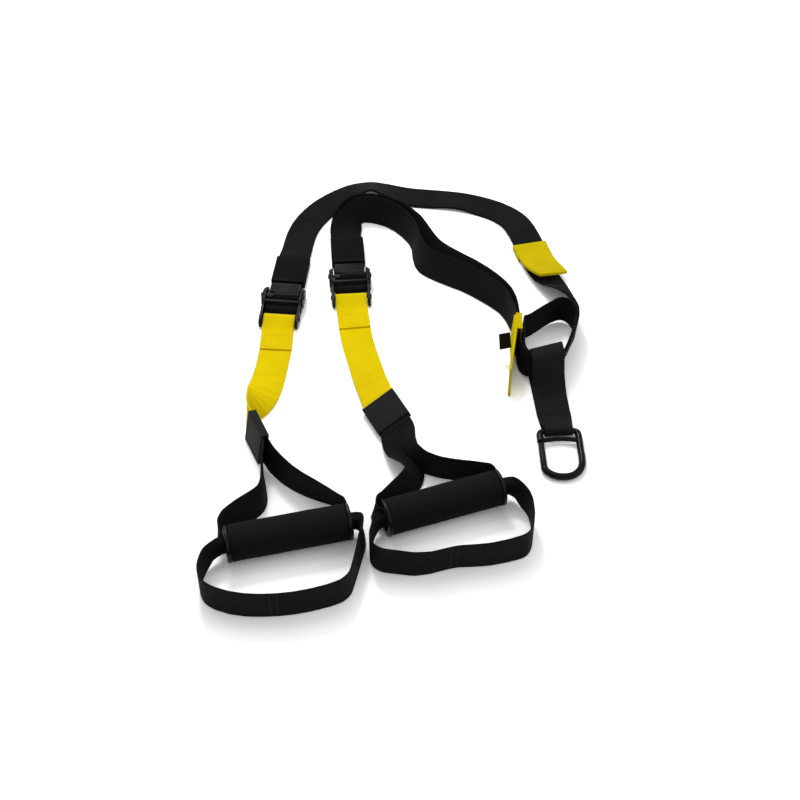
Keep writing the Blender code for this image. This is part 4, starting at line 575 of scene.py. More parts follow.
def sharp_ends(ring, thickness):
    """The four corners of one cut: two pairs, each a strap's thickness apart."""
    walked = walk(ring, closed=True)
    whole = walked[-1]
    loop = np.concatenate([ring, ring[:1]])
    reach = CORNER_REACH * thickness
    into = ring - points_at(np.mod(walked[:-1] - reach, whole), walked, loop)
    out = points_at(np.mod(walked[:-1] + reach, whole), walked, loop) - ring
    cosine = (into * out).sum(axis=1) / (norm(into, axis=1) * norm(out, axis=1))
    turn = np.arccos(np.clip(cosine, -1.0, 1.0))
    sharp = np.nonzero(turn > SHARP_TURN)[0]
    pairs = []
    for i in sharp:
        for j in sharp:
            apart = (walked[j] - walked[i]) % whole
            if CORNER_GAP[0] * thickness < apart < CORNER_GAP[1] * thickness:
                pairs.append((turn[i] + turn[j] - 0.2 * abs(apart / thickness - 1), i, j))
    pairs.sort(key=lambda pair: -pair[0])
    for _, i, j in pairs[1:]:
        apart = (walked[i] - walked[pairs[0][1]]) % whole
        if OPPOSITE[0] * whole < apart < OPPOSITE[1] * whole:
            return pairs[0][1], pairs[0][2], i, j
    return None


def even_row(line):
    """A row's points, at even distances along one face of a cut."""
    walked = walk(line)
    return points_at(np.linspace(0.0, walked[-1], ROW_POINTS), walked, line)


def read_section(ring, before, thickness):
    """The middle row and the normals of one cut, turned the way of the cut before it."""
    gaps = norm(np.roll(ring, -1, axis=0) - ring, axis=1)
    ring = ring[gaps > 2 * WELD_GAP]
    ends = sharp_ends(ring, thickness) if len(ring) > 3 else None
    if ends is None:
        return None
    a, b, c, d = ends
    runs = [
        ring[start : stop + 1] if start < stop else np.concatenate([ring[start:], ring[: stop + 1]])
        for start, stop in ((b, c), (d, a))
    ]
    upper, lower = even_row(runs[0]), even_row(runs[1][::-1])
    if before is not None:
        across = before["row"][-1] - before["row"][0]
        if (upper[-1] - upper[0]) @ across < 0:
            upper, lower = upper[::-1], lower[::-1]
        if (upper[MIDDLE] - lower[MIDDLE]) @ before["normal"][MIDDLE] < 0:
            upper, lower = lower, upper
    rise = upper - lower
    depth = norm(rise, axis=1, keepdims=True)
    return {
        "row": (upper + lower) / 2,
        "normal": rise / np.maximum(depth, 1e-9),
        "thickness": float(depth.mean()),
    }


def smoothed(sections, closed, passes):
    """The sections with the facets of the solid smoothed out."""
    rows = np.array([section["row"] for section in sections])
    normals = np.array([section["normal"] for section in sections])
    for _ in range(passes):
        for values in (rows, normals):
            if closed:
                values[:] = (np.roll(values, 1, 0) + 2 * values + np.roll(values, -1, 0)) / 4
            else:
                values[1:-1] = (values[:-2] + 2 * values[1:-1] + values[2:]) / 4
    normals /= norm(normals, axis=2, keepdims=True)
    return rows, normals


def read_strap(node, start, cut=None, step=TRACE_STEP, passes=6, thickness=WEBBING_THICKNESS):
    """A strap's rows, normals, distances and thickness, from the end nearest a point.

    A closed strap is read from the point itself, the way that cut points."""
    points, triangles = merged_solid(node)
    start = np.array(start, dtype=float)
    closed = cut is not None
    if closed:
        way, layer = (unit(np.array(one, dtype=float)) for one in cut)
        jumps = cut_jumps(points, triangles, start, way, layer)
        low, high = [0], []
    else:
        jumps = {}
        low, high = end_faces(points, triangles, thickness)
        if norm(points[high[0]] - start) < norm(points[low[0]] - start):
            low, high = high, low
    values = spread_along(points, triangles, low, high, jumps)
    local = np.zeros(triangles.shape)
    for t, corners in enumerate(triangles):
        a, b, c = (int(k) for k in corners)
        local[t] = values[a], values[b] + jumps.get((a, b), 0.0), values[c] + jumps.get((a, c), 0.0)
    # The first pass measures the strap, and the second reads it at even steps.
    count = FIRST_LEVELS
    for _ in range(2):
        levels = np.linspace(END_LEVEL, 1 - END_LEVEL, count)
        if closed:
            levels = (np.arange(count) + 0.5) / count
        sections = []
        for level in levels:
            ring = level_ring(points, triangles, local, level)
            section = read_section(ring, sections[-1] if sections else None, thickness)
            if section is not None:
                sections.append(section)
        centres = np.array([section["row"][MIDDLE] for section in sections])
        length = float(norm(np.diff(centres, axis=0), axis=1).sum())
        count = max(LEAST_LEVELS, int(length / step))
    rows, normals = smoothed(sections, closed, passes)
    return {
        "rows": rows,
        "normals": normals,
        "walked": walk(rows[:, MIDDLE], closed),
        "thickness": float(np.median([section["thickness"] for section in sections])),
        "closed": closed,
        "width": float(np.median([walk(row)[-1] for row in rows])),
    }


# Making the pieces.


def select_only(*chosen):
    for other in bpy.context.view_layer.objects:
        other.select_set(other in chosen)
    bpy.context.view_layer.objects.active = chosen[0] if chosen else None


def finish(made, name, material, body, slot, *nodes, smooth=35):
    """Name a piece, give it its material, and let it ride on its body."""
    made.name = made.data.name = name
    made.data.materials.clear()
    made.data.materials.append(material)
    select_only(made)
    bpy.ops.object.shade_smooth_by_angle(angle=math.radians(smooth))
    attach(made, body)
    if nodes:
        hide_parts(*nodes)
    return made


def linked(name, mesh):
    made = bpy.data.objects.new(name, mesh)
    bpy.context.scene.collection.objects.link(made)
    return made


def closed_mesh(name, shape):
    """The mesh of a shape, with its faces turned outwards."""
    bmesh.ops.recalc_face_normals(shape, faces=shape.faces)
    mesh = bpy.data.meshes.new(name)
    shape.to_mesh(mesh)
    shape.free()
    return mesh


def soften(made, width, limit=30):
    """Round the edges that turn by more than a limit in degrees."""
    select_only(made)
    bevel = made.modifiers.new("edges", "BEVEL")
    bevel.width = width
    bevel.segments = 3
    bevel.limit_method = "ANGLE"
    bevel.angle_limit = math.radians(limit)
    bpy.ops.object.modifier_apply(modifier=bevel.name)


def across_profile(thickness):
    """Shares of the width and heights over the middle, round a strap's outline."""
    half = thickness / 2
    corner = (EDGE_ROUND_SHARE * 0.3, 0.7 * half)
    upper = [(0.0, 0.0), corner]
    upper += [(share, half) for share in np.linspace(EDGE_ROUND_SHARE, 1 - EDGE_ROUND_SHARE, 17)]
    upper += [(1 - corner[0], corner[1]), (1.0, 0.0)]
    return upper + [(share, -height) for share, height in upper[-2:0:-1]]


def at_share(values, share):
    """A value at a share of the way across a row."""
    place = share * (ROW_POINTS - 1)
    low = min(int(place), ROW_POINTS - 2)
    part = place - low
    return values[low] * (1 - part) + values[low + 1] * part


def webbing_mesh(name, strap):
    """A strap's skin, with the weave laid along and across it in metres."""
    profile = across_profile(strap["thickness"])
    shape = bmesh.new()
    weave = shape.loops.layers.uv.new("weave")
    rings = []
    for row, normal in zip(strap["rows"], strap["normals"]):
        places = [at_share(row, share) + at_share(normal, share) * rise for share, rise in profile]
        rings.append([shape.verts.new(place) for place in places])
    around = [share * strap["width"] for share, _ in profile]
    walked = strap["walked"]
    pairs = list(zip(range(len(rings) - 1), range(1, len(rings))))
    if strap["closed"]:
        pairs.append((len(rings) - 1, 0))
    for near, far in pairs:
        for i in range(len(profile)):
            j = (i + 1) % len(profile)
            face = shape.faces.new((rings[near][i], rings[near][j], rings[far][j], rings[far][i]))
            low, high = walked[near], walked[near + 1]
            places = ((around[i], low), (around[j], low), (around[j], high), (around[i], high))
            for loop, place in zip(face.loops, places):
                loop[weave].uv = place
    if not strap["closed"]:
        for ring, distance in ((rings[0], walked[0]), (rings[-1], walked[-1])):
            cap = shape.faces.new(ring)
            for loop, share in zip(cap.loops, around):
                loop[weave].uv = (share, distance)
    return closed_mesh(name, shape)


def on_strap(strap, distance, share, side=1):
    """A point on a strap's face, with the strap's normal there."""
    walked = strap["walked"][: len(strap["rows"])]
    place = float(np.interp(distance, walked, np.arange(len(walked))))
    low = min(int(place), len(walked) - 2)
    part = place - low
    row, normals = (
        strap[key][low] * (1 - part) + strap[key][low + 1] * part for key in ("rows", "normals")
    )
    normal = unit(at_share(normals, share)) * side
    return at_share(row, share) + normal * (strap["thickness"] / 2), normal


def stitch_shape(shape, start, end, normal, radius):
    """One stitch: a short rounded bar of thread that dips at both ends."""
    along = end - start
    size = norm(along)
    along = along / size
    across = np.cross(normal, along)
    rings = []
    for share, lift, wide in STITCH_RINGS:
        ring = []
        for i in range(STITCH_SIDES):
            angle = 2 * math.pi * i / STITCH_SIDES
            rise = math.sin(angle) * STITCH_FLATNESS * wide + lift
            offset = across * math.cos(angle) * wide + normal * rise
            ring.append(shape.verts.new(start + along * size * share + offset * radius))
        rings.append(ring)
    for near, far in zip(rings, rings[1:]):
        for i in range(STITCH_SIDES):
            j = (i + 1) % STITCH_SIDES
            shape.faces.new((near[i], near[j], far[j], far[i]))
    shape.faces.new(rings[0][::-1])
    shape.faces.new(rings[-1])


def stitching(name, runs, material, body, slot, pitch=SEAM_PITCH, radius=THREAD_RADIUS):
    """Lock stitches along runs of (point, normal) pairs, joined as one piece."""
    shape = bmesh.new()
    for run in runs:
        points, normals = (np.array(values) for values in zip(*run))
        walked = walk(points)
        count = max(1, round(walked[-1] / pitch))
        for i in range(count):
            near, far = ((i + part) * walked[-1] / count for part in STITCH_SPAN)
            start, end = (points_at(distance, walked, points) for distance in (near, far))
            normal = unit(points_at((near + far) / 2, walked, normals))
            stitch_shape(shape, start, end, normal, radius)
    return finish(linked(name, closed_mesh(name, shape)), name, material, body, slot, smooth=40)


def strap_run(strap, places, side=1):
    """A run of stitching through (distance, share) places on a strap's face."""
    run = []
    for (d0, s0), (d1, s1) in zip(places, places[1:]):
        count = max(2, int(abs(d1 - d0) / (2 * MM)) + int(abs(s1 - s0) * 20) + 1)
        for i in range(count):
            part = i / count
            run.append(on_strap(strap, d0 + (d1 - d0) * part, s0 + (s1 - s0) * part, side))
    run.append(on_strap(strap, *places[-1], side))
    return run


def bar_tack(strap, distance, margin, side):
    """A run that goes to and fro along the strap while it crosses it."""
    places = []
    for i in range(2 * TACK_TURNS + 1):
        swing = TACK_WIDTH / 2 if i % 2 else -TACK_WIDTH / 2
        places.append((distance + swing, margin + (1 - 2 * margin) * i / (2 * TACK_TURNS)))
    return strap_run(strap, places, side)


def lay_weave(mesh, place):
    """A weave map from a place's own axes: x across the webbing and y along it."""
    back = place.inverted()
    while mesh.uv_layers:
        mesh.uv_layers.remove(mesh.uv_layers[0])
    layer = mesh.uv_layers.new(name="weave")
    for loop in mesh.loops:
        local = back @ mesh.vertices[loop.vertex_index].co
        layer.data[loop.index].uv = (local.x + local.z, local.y)


def softened_copy(node, end, body, material, slot, rounding, place):
    """A CAD piece with rounded edges, and the weave laid on it in its own frame."""
    mesh = frame["nodes"][node].data.copy()
    shape = welded(node)
    flat = math.radians(1)
    bmesh.ops.dissolve_limit(shape, angle_limit=flat, verts=shape.verts, edges=shape.edges)
    shape.to_mesh(mesh)
    shape.free()
    made = linked(node + end, mesh)
    soften(made, rounding, limit=35)
    lay_weave(mesh, place)
    return finish(made, node + end, material, body, slot, node, smooth=40)


def axes_matrix(origin, x_axis, y_axis, z_axis):
    made = Matrix.Identity(4)
    for column, axis in enumerate((x_axis, y_axis, z_axis, origin)):
        for row in range(3):
            made[row][column] = axis[row]
    return made


def place_on_strap(strap, point):
    """The strap's own frame nearest a point: across it, along it and its normal."""
    centres = strap["rows"][:, MIDDLE]
    i = int(np.argmin(norm(centres - np.array(point), axis=1)))
    i = min(max(i, 1), len(centres) - 2)
    along = unit(centres[i + 1] - centres[i - 1])
    across = unit(strap["rows"][i][-1] - strap["rows"][i][0])
    normal = unit(np.cross(across, along))
    return axes_matrix(point, across, unit(np.cross(normal, across)), normal)


def middle_of(node):
    low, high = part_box(node)
    return (low + high) / 2


# The places of the buckles, the grips and the carabiner come from the joints.


JOINTS = {joint["name"]: joint for joint in frame["joints"]}


def axis_of(name):
    return Vector(JOINTS[name]["axis"])


def buckle_place(side):
    """Along the strap, across it and up, from the floor under the loop bar."""
    along, across = -axis_of("strap_adjuster_" + side), axis_of("handle_swing_" + side)
    origin = Vector(JOINTS["handle_swing_" + side]["pos_m"])
    origin.z = 0.0
    return axes_matrix(origin, along, across, along.cross(across))


def grip_place(side):
    """Along the grip, across it and up, from the middle of the grip."""
    along = axis_of("grip_spin_" + side)
    return axes_matrix(JOINTS["grip_spin_" + side]["pos_m"], along, UP.cross(along), UP)


def carabiner_place():
    """Along the carabiner, across it and up, from the middle of its slot bar."""
    across, up = -axis_of("carabiner_tilt"), axis_of("carabiner_gate")
    return axes_matrix(JOINTS["carabiner_tilt"]["pos_m"], across.cross(up), across, up)


BUCKLE = {side: buckle_place(side) for side in SIDES}
GRIP = {side: grip_place(side) for side in SIDES}
CARABINER = carabiner_place()


# Where each strap is read from. A loop is cut at a point, and read on along a direction.


ANCHOR_TOP = middle_of("anchor_strap")
ANCHOR_FLOOR = Vector((ANCHOR_TOP.x, ANCHOR_TOP.y, 0.9 * MM))
MAIN_START = BUCKLE["left"] @ Vector((67 * MM, 0.0, 2 * MM))
EDGE_HEIGHT = WEBBING_WIDTH / 2
HANDLE_STARTS = {
    "left": (-0.200, -0.250, EDGE_HEIGHT),
    "right": (-0.030, -0.230, EDGE_HEIGHT),
}
YELLOW_STARTS = {"left": (-0.165, -0.107, 0.021), "right": (-0.024, -0.084, 0.013)}
YELLOW_READING = {"step": BAR_STEP, "passes": 8, "thickness": YELLOW_THICKNESS}
LOOP_CUTS = {
    "foot_loop_left": ((-0.0980, -0.3471), (0.97, 0.23)),
    "foot_loop_right": ((0.0655, -0.2914), (1.0, 0.06)),
    "locking_loop": ((0.1710, 0.0775), (0.78, 0.62)),
}

STRAPS = {
    "anchor_strap": read_strap("anchor_strap", ANCHOR_FLOOR, (CARABINER.col[0].xyz, UP)),
    "main_strap": read_strap("main_strap", MAIN_START),
}
for node, ((x, y), (u, v)) in LOOP_CUTS.items():
    STRAPS[node] = read_strap(node, (x, y, EDGE_HEIGHT), ((u, v, 0.0), (-v, u, 0.0)))
for side in SIDES:
    keeper_end = BUCKLE[side] @ Vector((107 * MM, 0.0, 4 * MM))
    for strand, start, more in (
        ("yellow_strap_", YELLOW_STARTS[side], YELLOW_READING),
        ("handle_strap_", HANDLE_STARTS[side], {}),
        ("return_strap_", keeper_end, {}),
        ("turn_webbing_", keeper_end, {"step": BAR_STEP, "passes": 4}),
    ):
        STRAPS[strand + side] = read_strap(strand + side, start, **more)


# The stitching is placed by its distance along a strap.


CAMERA_WAY = unit(np.array((0.0, -0.71, 0.71)))


def seen_side(strap, distance):
    """Which face of a strap looks towards the camera there."""
    return 1 if on_strap(strap, distance, 0.5)[1] @ CAMERA_WAY > 0 else -1


def distance_near(strap, point):
    """How far along a strap its middle comes nearest to a point."""
    away = norm(strap["rows"][:, MIDDLE] - np.array(point), axis=1)
    return float(strap["walked"][int(np.argmin(away))])


# The anchor strap is drawn in where rows of stitching cross it.


ANCHOR = STRAPS["anchor_strap"]
SEAM_PLACES = (-84, -77, -69, -61, -50, -38, -27, -16, -8)
ANCHOR_SEAMS = [
    distance_near(ANCHOR, CARABINER @ Vector((along * MM, 0.0, 12 * MM))) for along in SEAM_PLACES
]
middle_seam = int(np.searchsorted(ANCHOR["walked"], ANCHOR_SEAMS[4]))
depth = QUILT_DEPTH if ANCHOR["normals"][middle_seam, MIDDLE][2] > 0 else -QUILT_DEPTH
walked = ANCHOR["walked"][: len(ANCHOR["rows"])]
for place in ANCHOR_SEAMS:
    share = np.exp(-(((walked - place) / QUILT_SPREAD) ** 2))
    ANCHOR["rows"] = ANCHOR["rows"] - ANCHOR["normals"] * (depth * share[:, None, None])


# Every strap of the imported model, woven again over its own rows.


WOVEN = {"main_strap": "straps", "return_strap_left": "straps", "return_strap_right": "straps"}
WOVEN["locking_loop"] = "straps"
for strand, body in (
    ("turn_webbing_", "buckle_"),
    ("yellow_strap_", "handle_"),
    ("handle_strap_", "handle_"),
    ("foot_loop_", "foot_"),
):
    for side in SIDES:
        WOVEN[strand + side] = body + side
WOVEN["anchor_strap"] = "anchor"

for node, body in WOVEN.items():
    material, slot = BLACK_WEBBING, "black_webbing"
    if node.startswith("yellow"):
        material, slot = YELLOW_WEBBING, "yellow_webbing"
    elif node == "anchor_strap":
        material = ANCHOR_WEBBING
    name = node + "_webbing"
    made = linked(name, webbing_mesh(name, STRAPS[node]))
    finish(made, name, material, body, slot, node, smooth=40)


# The stitching that holds the straps.


for side in SIDES:
    body = "handle_" + side
    strap = STRAPS["yellow_strap_" + side]
    tail = float(strap["walked"][-1])
    near, far = (tail - back for back in YELLOW_SEAM)
    low, high = SEAM_MARGIN, 1 - SEAM_MARGIN
    box = [(near, low), (far, low), (far, high), (near, high), (near, low)]
    runs = [strap_run(strap, box, seen_side(strap, tail - 5 * MM))]
    slot = "yellow_webbing"
    stitching("yellow_seam_" + side, runs, YELLOW_THREAD, body, slot, radius=SEAM_THREAD_RADIUS)
    strap = STRAPS["handle_strap_" + side]
    whole = float(strap["walked"][-1])
    tacks = [*HANDLE_TACKS, *(whole - back for back in HANDLE_TACKS[::-1])]
    runs = [bar_tack(strap, distance, SEAM_MARGIN, face) for distance in tacks for face in (1, -1)]
    stitching("handle_tacks_" + side, runs, BLACK_THREAD, body, "black_webbing", TACK_PITCH)

SEAM_AT = {"left": (-0.132, -0.352, EDGE_HEIGHT), "right": (0.046, -0.293, EDGE_HEIGHT)}
for side in SIDES:
    strap = STRAPS["foot_loop_" + side]
    distance = distance_near(strap, SEAM_AT[side])
    face = seen_side(strap, distance)
    places = (distance - FOOT_SEAM_OFFSET, distance + FOOT_SEAM_OFFSET)
    runs = [bar_tack(strap, place, FOOT_SEAM_MARGIN, face) for place in places]
    name = "foot_loop_seam_" + side
    stitching(name, runs, BLACK_THREAD, "foot_" + side, "black_webbing", TACK_PITCH)

runs = [bar_tack(ANCHOR, place, SEAM_MARGIN, seen_side(ANCHOR, place)) for place in ANCHOR_SEAMS]
stitching("anchor_tacks", runs, BLACK_THREAD, "anchor", "black_webbing", TACK_PITCH)


# The keepers, the collars, the pull tabs and the tail.


def level_run(place, *corners):
    """A run of stitching on a flat face, in that face's own axes."""
    normal = np.array(place.col[2].xyz)
    return [(np.array(place @ Vector(corner)), normal) for corner in corners]


for side in SIDES:
    along, across, _, origin = BUCKLE[side].col
    keeper = axes_matrix(origin, across, -along, UP)
    node = "strap_keeper_" + side
    slot = "keeper_webbing"
    softened_copy(node, "_sleeve", "straps", KEEPER_WEBBING, slot, SLEEVE_ROUNDING, keeper)
    x, z = KEEPER_SEAM_REACH, KEEPER_TOP
    near, far = KEEPER_SPAN
    runs = [
        level_run(keeper, (-x, -u, z), (x, -u, z))
        for u in (near + 2 * MM, near + 5 * MM, far - 2.5 * MM)
    ]
    stitching("keeper_seam_" + side, runs, BLACK_THREAD, "straps", slot)

    node, body, slot = "collar_" + side, "handle_" + side, "collar_fabric"
    collar = place_on_strap(STRAPS["yellow_strap_" + side], middle_of(node))
    softened_copy(node, "_sleeve", body, COLLAR_FABRIC, slot, COLLAR_ROUNDING, collar)
    x, y = COLLAR_SEAM_REACH
    runs = []
    for top in (COLLAR_HALF_HEIGHT, -COLLAR_HALF_HEIGHT):
        for edge in (-1, 1):
            runs.append(level_run(collar, (-x, edge * y, top), (x, edge * y, top)))
            runs.append(level_run(collar, (edge * x, -y, top), (edge * x, y, top)))
    stitching("collar_seam_" + side, runs, BLACK_THREAD, body, slot, COLLAR_PITCH)

for node, end, material, slot, rounding in (
    ("pull_tab_left", "_sleeve", TAB_WEBBING, "yellow_webbing", SLEEVE_ROUNDING),
    ("pull_tab_right", "_sleeve", TAB_WEBBING, "yellow_webbing", SLEEVE_ROUNDING),
    ("tab_tail", "_end", BLACK_WEBBING, "black_webbing", TAIL_ROUNDING),
):
    place = place_on_strap(STRAPS["main_strap"], middle_of(node))
    softened_copy(node, end, "straps", material, slot, rounding, place)


# Hard pieces are shaped by hand from primitives.


def edit_all():
    """Enter edit mode with everything selected."""
    bpy.ops.object.mode_set(mode="EDIT")
    bpy.ops.mesh.select_all(action="SELECT")


def end_edit():
    bpy.ops.object.mode_set(mode="OBJECT")


def outline_piece(points, filled):
    """A circle primitive whose points are moved to an outline in its own plane."""
    select_only()
    fill = "NGON" if filled else "NOTHING"
    bpy.ops.mesh.primitive_circle_add(vertices=len(points), radius=1.0, fill_type=fill)
    made = bpy.context.active_object
    for vertex, (x, y) in zip(made.data.vertices, points):
        vertex.co = (x, y, 0.0)
    return made


def turn_out(made):
    """Make the faces of a closed shape agree and look outwards."""
    select_only(made)
    bpy.ops.object.mode_set(mode="EDIT")
    bpy.ops.mesh.select_mode(type="VERT")
    bpy.ops.mesh.select_all(action="SELECT")
    bpy.ops.mesh.normals_make_consistent(inside=False)
    end_edit()
    shape = bmesh.new()
    shape.from_mesh(made.data)
    inside_out = shape.calc_volume(signed=True) < 0
    shape.free()
    if inside_out:
        made.data.flip_normals()
    return made


def thicken(low, high):
    """Move the shape in edit mode up or down, and draw it out to its other face."""
    bpy.ops.transform.translate(value=(0.0, 0.0, low))
    bpy.ops.mesh.extrude_region_move(TRANSFORM_OT_translate={"value": (0.0, 0.0, high - low)})
    end_edit()


def spun(profile, steps):
    """A profile of (along, radius) points turned once round its x axis."""
    made = outline_piece(profile, False)
    edit_all()
    bpy.ops.mesh.spin(
        steps=steps, angle=2 * math.pi, center=(0.0, 0.0, 0.0), axis=(1.0, 0.0, 0.0)
    )
    bpy.ops.mesh.select_all(action="SELECT")
    bpy.ops.mesh.remove_doubles(threshold=WELD_GAP)
    end_edit()
    return turn_out(made)


def mirrored(right, middle=0.0):
    """A profile's right end, with its mirror image as the left end."""
    return [(2 * middle - along, radius) for along, radius in right[::-1]] + right


def pressed(outline, low, high, corner=0.0, rounding=0.4 * MM):
    """Sheet cut to an outline, with rounded corners and edges; it is thick in z."""
    made = outline_piece(outline, True)
    edit_all()
    if corner:
        bpy.ops.mesh.bevel(offset=corner, segments=4, affect="VERTICES", clamp_overlap=True)
        bpy.ops.mesh.select_all(action="SELECT")
        bpy.ops.mesh.remove_doubles(threshold=2 * WELD_GAP)
    thicken(low, high)
    turn_out(made)
    if rounding:
        soften(made, rounding)
    return made


def oblong(near, far, low, high):
    return [(near, low), (far, low), (far, high), (near, high)]


def set_in(made, place):
    """Move a shape's points to a place, so that the piece itself stays at the origin."""
    made.data.transform(place)
    made.data.update()
    return made


def combine(made, other, operation="UNION"):
    """Weld another shape to this one, or cut it away, and remove it."""
    select_only(made)
    weld = made.modifiers.new("weld", "BOOLEAN")
    weld.operation = operation
    weld.solver = "EXACT"
    weld.object = other
    bpy.ops.object.modifier_apply(modifier=weld.name)
    bpy.data.objects.remove(other)


def steel(made, node, body):
    """Finish a piece of coated steel that stands for one node."""
    finish(made, node + "_steel", COATED_STEEL, body, "black_coated_metal", node)


def bar_axes(place, along, height):
    """Axes for a bar across the buckle: its own x axis runs across."""
    u, v, w, _ = place.col
    return axes_matrix(place @ Vector((along, 0.0, height)), v, -u, w)


# The outlines of the frame's cheeks and of their ears, in millimetres.
CHEEK_OUTLINE = [(-14.0, 1.5), (-10.0, 0.0), (46.0, 0.0), (50.0, 1.0), (50.0, 11.0)]
CHEEK_OUTLINE += [(44.0, 16.5), (34.0, 19.5), (21.0, 18.8), (14.0, 15.0), (4.0, 13.5)]
CHEEK_OUTLINE += [(-10.0, 12.0), (-14.0, 9.5)]
EAR_OUTLINE = [(19.0, 9.0), (22.0, 3.0), (40.0, 2.0), (48.0, 4.0)]
EAR_OUTLINE += [(48.6, 10.6), (43.2, 15.2), (33.8, 18.2), (21.6, 17.4)]
# Sheet is drawn lying down and stands up across the buckle; the drum turns the other way.
UPRIGHT = Matrix(((1, 0, 0, 0), (0, 0, -1, 0), (0, 1, 0, 0), (0, 0, 0, 1)))


def in_mm(outline):
    return [(u * MM, v * MM) for u, v in outline]


def cross_bar(radius, washer=0.0):
    """A bar between the cheeks, with a domed rivet head at each end."""
    half = CHEEK_INSIDE / 2 - SEAT_GAP
    through = CHEEK_INSIDE / 2 + CHEEK_THICKNESS + washer + SEAT_GAP
    head = through + RIVET_THICKNESS
    right = [
        (half - 0.4 * MM, radius),
        (half, radius - 0.4 * MM),
        (half, TENON_RADIUS),
        (through, TENON_RADIUS),
        (through, RIVET_RADIUS),
        (through + 0.5 * MM, RIVET_RADIUS),
        (head - 0.15 * MM, 0.72 * RIVET_RADIUS),
        (head, 0.4 * RIVET_RADIUS),
        (head, 0.0),
    ]
    if radius == TENON_RADIUS:
        right = right[3:]
    return spun(mirrored(right), 40)


def toothed_drum():
    """The cam's drum, with shallow teeth along it and a bore for its pin."""
    outer, inner = [], []
    for i in range(DRUM_POINTS):
        angle = 2 * math.pi * i / DRUM_POINTS
        radius = DRUM_RADIUS + (TOOTH_HEIGHT if i % 4 in (2, 3) else 0.0)
        outer.append((radius * math.cos(angle), radius * math.sin(angle)))
        inner.append((DRUM_BORE * math.cos(angle), DRUM_BORE * math.sin(angle), 0.0))
    made = outline_piece(outer, False)
    edit_all()
    bpy.ops.mesh.extrude_edges_move(TRANSFORM_OT_translate={"value": (0.0, 0.0, 0.0)})
    end_edit()
    for vertex, place in zip(list(made.data.vertices)[DRUM_POINTS:], inner):
        vertex.co = place
    edit_all()
    thicken(-CHEEK_INSIDE / 2 + SEAT_GAP, 11 * MM)
    return turn_out(made)


def lever_plate():
    """The cam's thumb lever, with grip ridges across it."""
    (near, far), (low, high) = LEVER_SPAN, LEVER_HEIGHTS
    outline = [(near, low), (far, low), (far, high)]
    for i in range(RIDGES):
        crest = far - 1.5 * MM - RIDGE_PITCH * i
        for step, rise in ((0, 0.0), (1, RIDGE_HEIGHT), (2, RIDGE_HEIGHT), (3, 0.0)):
            outline.append((crest - step * RIDGE_STEP, high + rise))
    outline.append((near, high))
    return pressed(outline, -LEVER_HALF_WIDTH, LEVER_HALF_WIDTH, 0.0, 0.25 * MM)


for side in SIDES:
    place = BUCKLE[side]
    body = "buckle_" + side
    parts = []
    for near in (CHEEK_INSIDE / 2, -CHEEK_INSIDE / 2 - CHEEK_THICKNESS):
        cheek = pressed(in_mm(CHEEK_OUTLINE), -near - CHEEK_THICKNESS, -near, 2.4 * MM, 0.9 * MM)
        parts.append(set_in(cheek, place @ UPRIGHT))
        low = (-near if near < 0 else -near - CHEEK_THICKNESS - EAR_THICKNESS) - 0.1 * MM
        high = low + EAR_THICKNESS + 0.2 * MM
        ear = pressed(in_mm(EAR_OUTLINE), low, high, 2.0 * MM, 0.7 * MM)
        parts.append(set_in(ear, place @ UPRIGHT))
    reach = CHEEK_INSIDE / 2 + CHEEK_THICKNESS / 2
    base = pressed(oblong(*BASE_SPAN, -reach, reach), 0.0, BASE_THICKNESS)
    bridge = pressed(oblong(*BRIDGE_SPAN, -reach, reach), *BRIDGE_HEIGHTS, 0.0, 1.2 * MM)
    parts += [set_in(base, place), set_in(bridge, place)]
    select_only(*parts)
    bpy.ops.object.join()
    steel(bpy.context.view_layer.objects.active, "buckle_frame_" + side, body)
    for node, (along, height, radius), washer in (
        ("loop_bar_", LOOP_BAR, 0.0),
        ("turn_bar_", TURN_BAR, 0.0),
        ("cam_pin_", CAM_PIN, EAR_THICKNESS),
    ):
        bar = set_in(cross_bar(radius, washer), bar_axes(place, along, height))
        steel(bar, node + side, body)
    pin = place @ Matrix.Translation((CAM_PIN[0], 0.0, CAM_PIN[1]))
    drum = set_in(toothed_drum(), pin @ UPRIGHT.inverted())
    droop = Matrix.Rotation(LEVER_DROOP, 4, "Y")
    combine(drum, set_in(lever_plate(), pin @ droop @ UPRIGHT))
    steel(drum, "cam_lever_" + side, "cam_" + side)

for node in ("cam_spring_left", "cam_spring_right", "gate_pin"):
    frame["nodes"][node].data.materials.clear()
    frame["nodes"][node].data.materials.append(SPRING_STEEL)


# The grips.


def foam_sleeve(seed):
    """Foam, with the shallow dents and waves that hands and straps leave in it."""
    seat = BORE_RADIUS + CORE_WALL + SEAT_GAP
    reach = GRIP_LENGTH / 2 - FLANGE_THICKNESS - SEAT_GAP
    even = np.linspace(-reach + 1.3 * MM, reach - 1.3 * MM, 56)[28:]
    right = [(float(x), FOAM_RADIUS) for x in even]
    right += [(reach - 0.5 * MM, FOAM_RADIUS - 0.35 * MM), (reach, FOAM_RADIUS - 1.2 * MM)]
    made = spun(mirrored(right + [(reach, seat)]), 96)
    for vertex in made.data.vertices:
        outwards = Vector((0.0, vertex.co.y, vertex.co.z))
        if outwards.length > seat + 1 * MM:
            wave = noise.noise(vertex.co * WAVES_PER_METRE + Vector((seed, 0, 0)))
            grain = noise.noise(vertex.co * GRAINS_PER_METRE + Vector((seed, 0, 0)))
            outwards.normalize()
            vertex.co -= outwards * (FOAM_SINK + WAVE_HEIGHT * wave + GRAIN_HEIGHT * grain)
    return made


